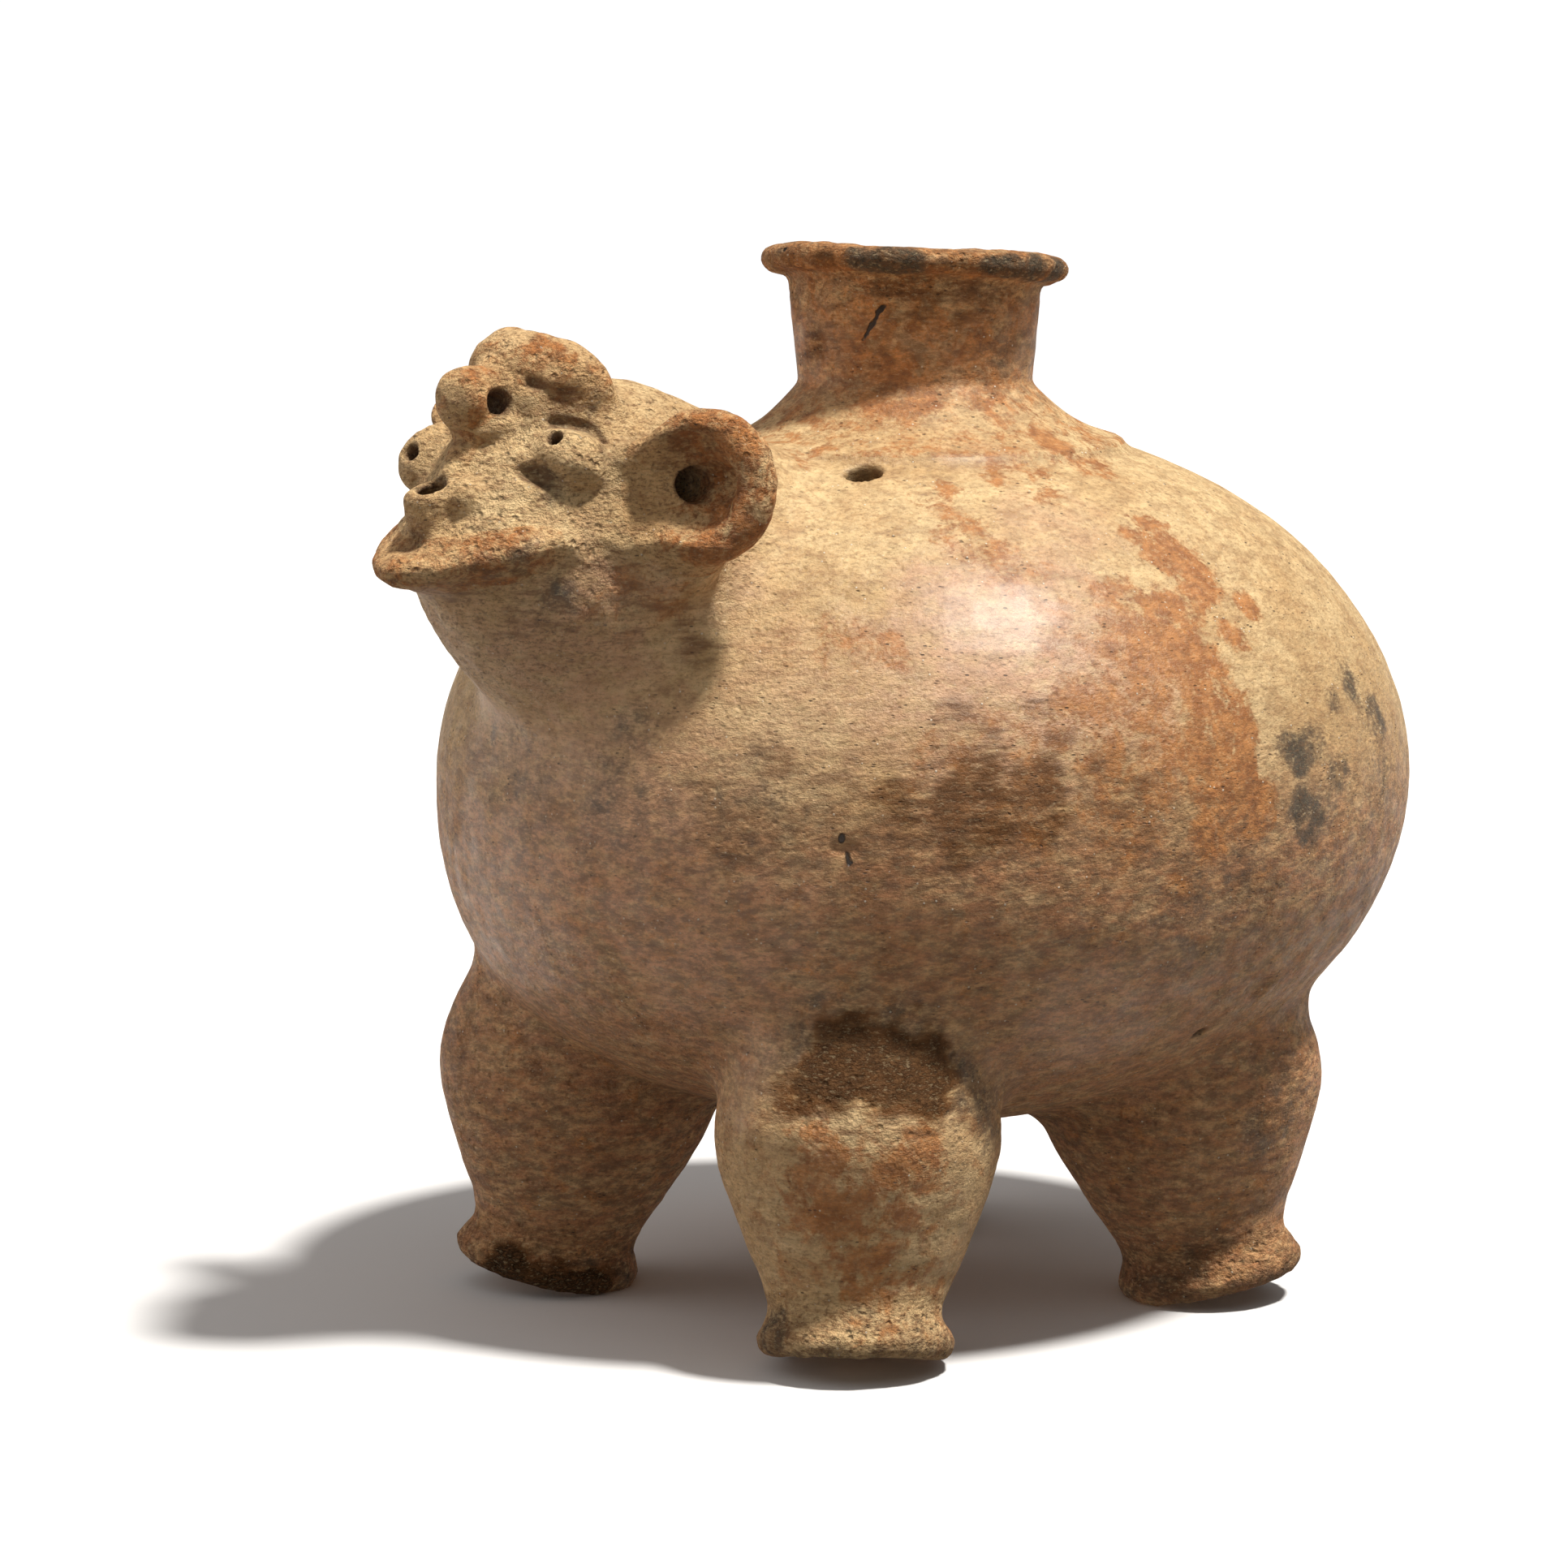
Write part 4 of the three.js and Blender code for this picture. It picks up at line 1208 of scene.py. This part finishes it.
floor_half = 4000
floor_corners = [(x * floor_half, y * floor_half, 0) for x, y in ((-1, -1), (1, -1), (1, 1), (-1, 1))]
floor = mesh_object("floor", floor_corners, [(0, 1, 2, 3)])
paper = bpy.data.materials.new("paper")
node = node_maker(paper)
matt = node("BsdfPrincipled", {"Base Color": (0.86, 0.85, 0.845, 1), "Roughness": 0.9,
                               "Specular IOR Level": 0.1})
node("OutputMaterial", {"Surface": matt.outputs[0]})
floor.data.materials.append(paper)
floor.visible_diffuse = False

# The air: a bright band round the horizon between a dim ground and a dim top, as (height share, tone)
air_strength, air_height = 1.05, 0.2
air_layers = [(0.2, (0.15, 0.132, 0.118, 1)), (0.325, (1, 1, 1, 1)), (0.675, (1, 1, 1, 1)),
              (0.8, (0.09, 0.09, 0.088, 1))]
sky = bpy.data.worlds.new("air")
bpy.context.scene.world = sky
node = node_maker(sky)
height = node("SeparateXYZ", {0: node("TexCoord").outputs["Generated"]}).outputs["Z"]
height_share = node("MapRange", {0: height, 1: -air_height, 2: air_height}).outputs[0]
air_tone = node("ValToRGB", {0: height_share})
stops = air_tone.color_ramp.elements
while len(stops) < len(air_layers):
    stops.new(0.5)
for stop, (share, tone) in zip(stops, air_layers):
    stop.position, stop.color = share, tone
glow = node("Background", {"Color": air_tone.outputs[0], "Strength": air_strength})
node("OutputWorld", {"Surface": glow.outputs[0]})

# Lights like suns: strength, angle of softness, tone and the way that the light comes from
for light_name, energy, softness, tone, source in (
        ("key", 4.4, 7, (1, 0.975, 0.93), (0.35, 0.1, 0.93)),
        ("air", 0.6, 110, (1, 0.98, 0.96), (0, 0, 1)),
        ("fill", 0.55, 50, (1, 0.92, 0.88), (-0.62, -0.7, 0.3))):
    sun = bpy.data.lights.new(light_name, "SUN")
    sun.energy = energy
    sun.angle = math.radians(softness)
    sun.color = tone
    lamp = bpy.data.objects.new(light_name, sun)
    lamp.rotation_euler = Vector(source).to_track_quat("Z", "Y").to_euler()
    bpy.context.scene.collection.objects.link(lamp)
bpy.context.scene.view_settings.view_transform = "Standard"

# The camera, where the picture was taken from
sensor_width = 36
lens = bpy.data.cameras.new("camera")
lens.sensor_width = sensor_width
lens.lens = sensor_width * focal_px / picture_size
camera = bpy.data.objects.new("camera", lens)
camera.location = Vector(view_place * MM)
camera.rotation_euler = Vector(ahead).to_track_quat("-Z", "Y").to_euler()
bpy.context.scene.collection.objects.link(camera)
bpy.context.scene.camera = camera
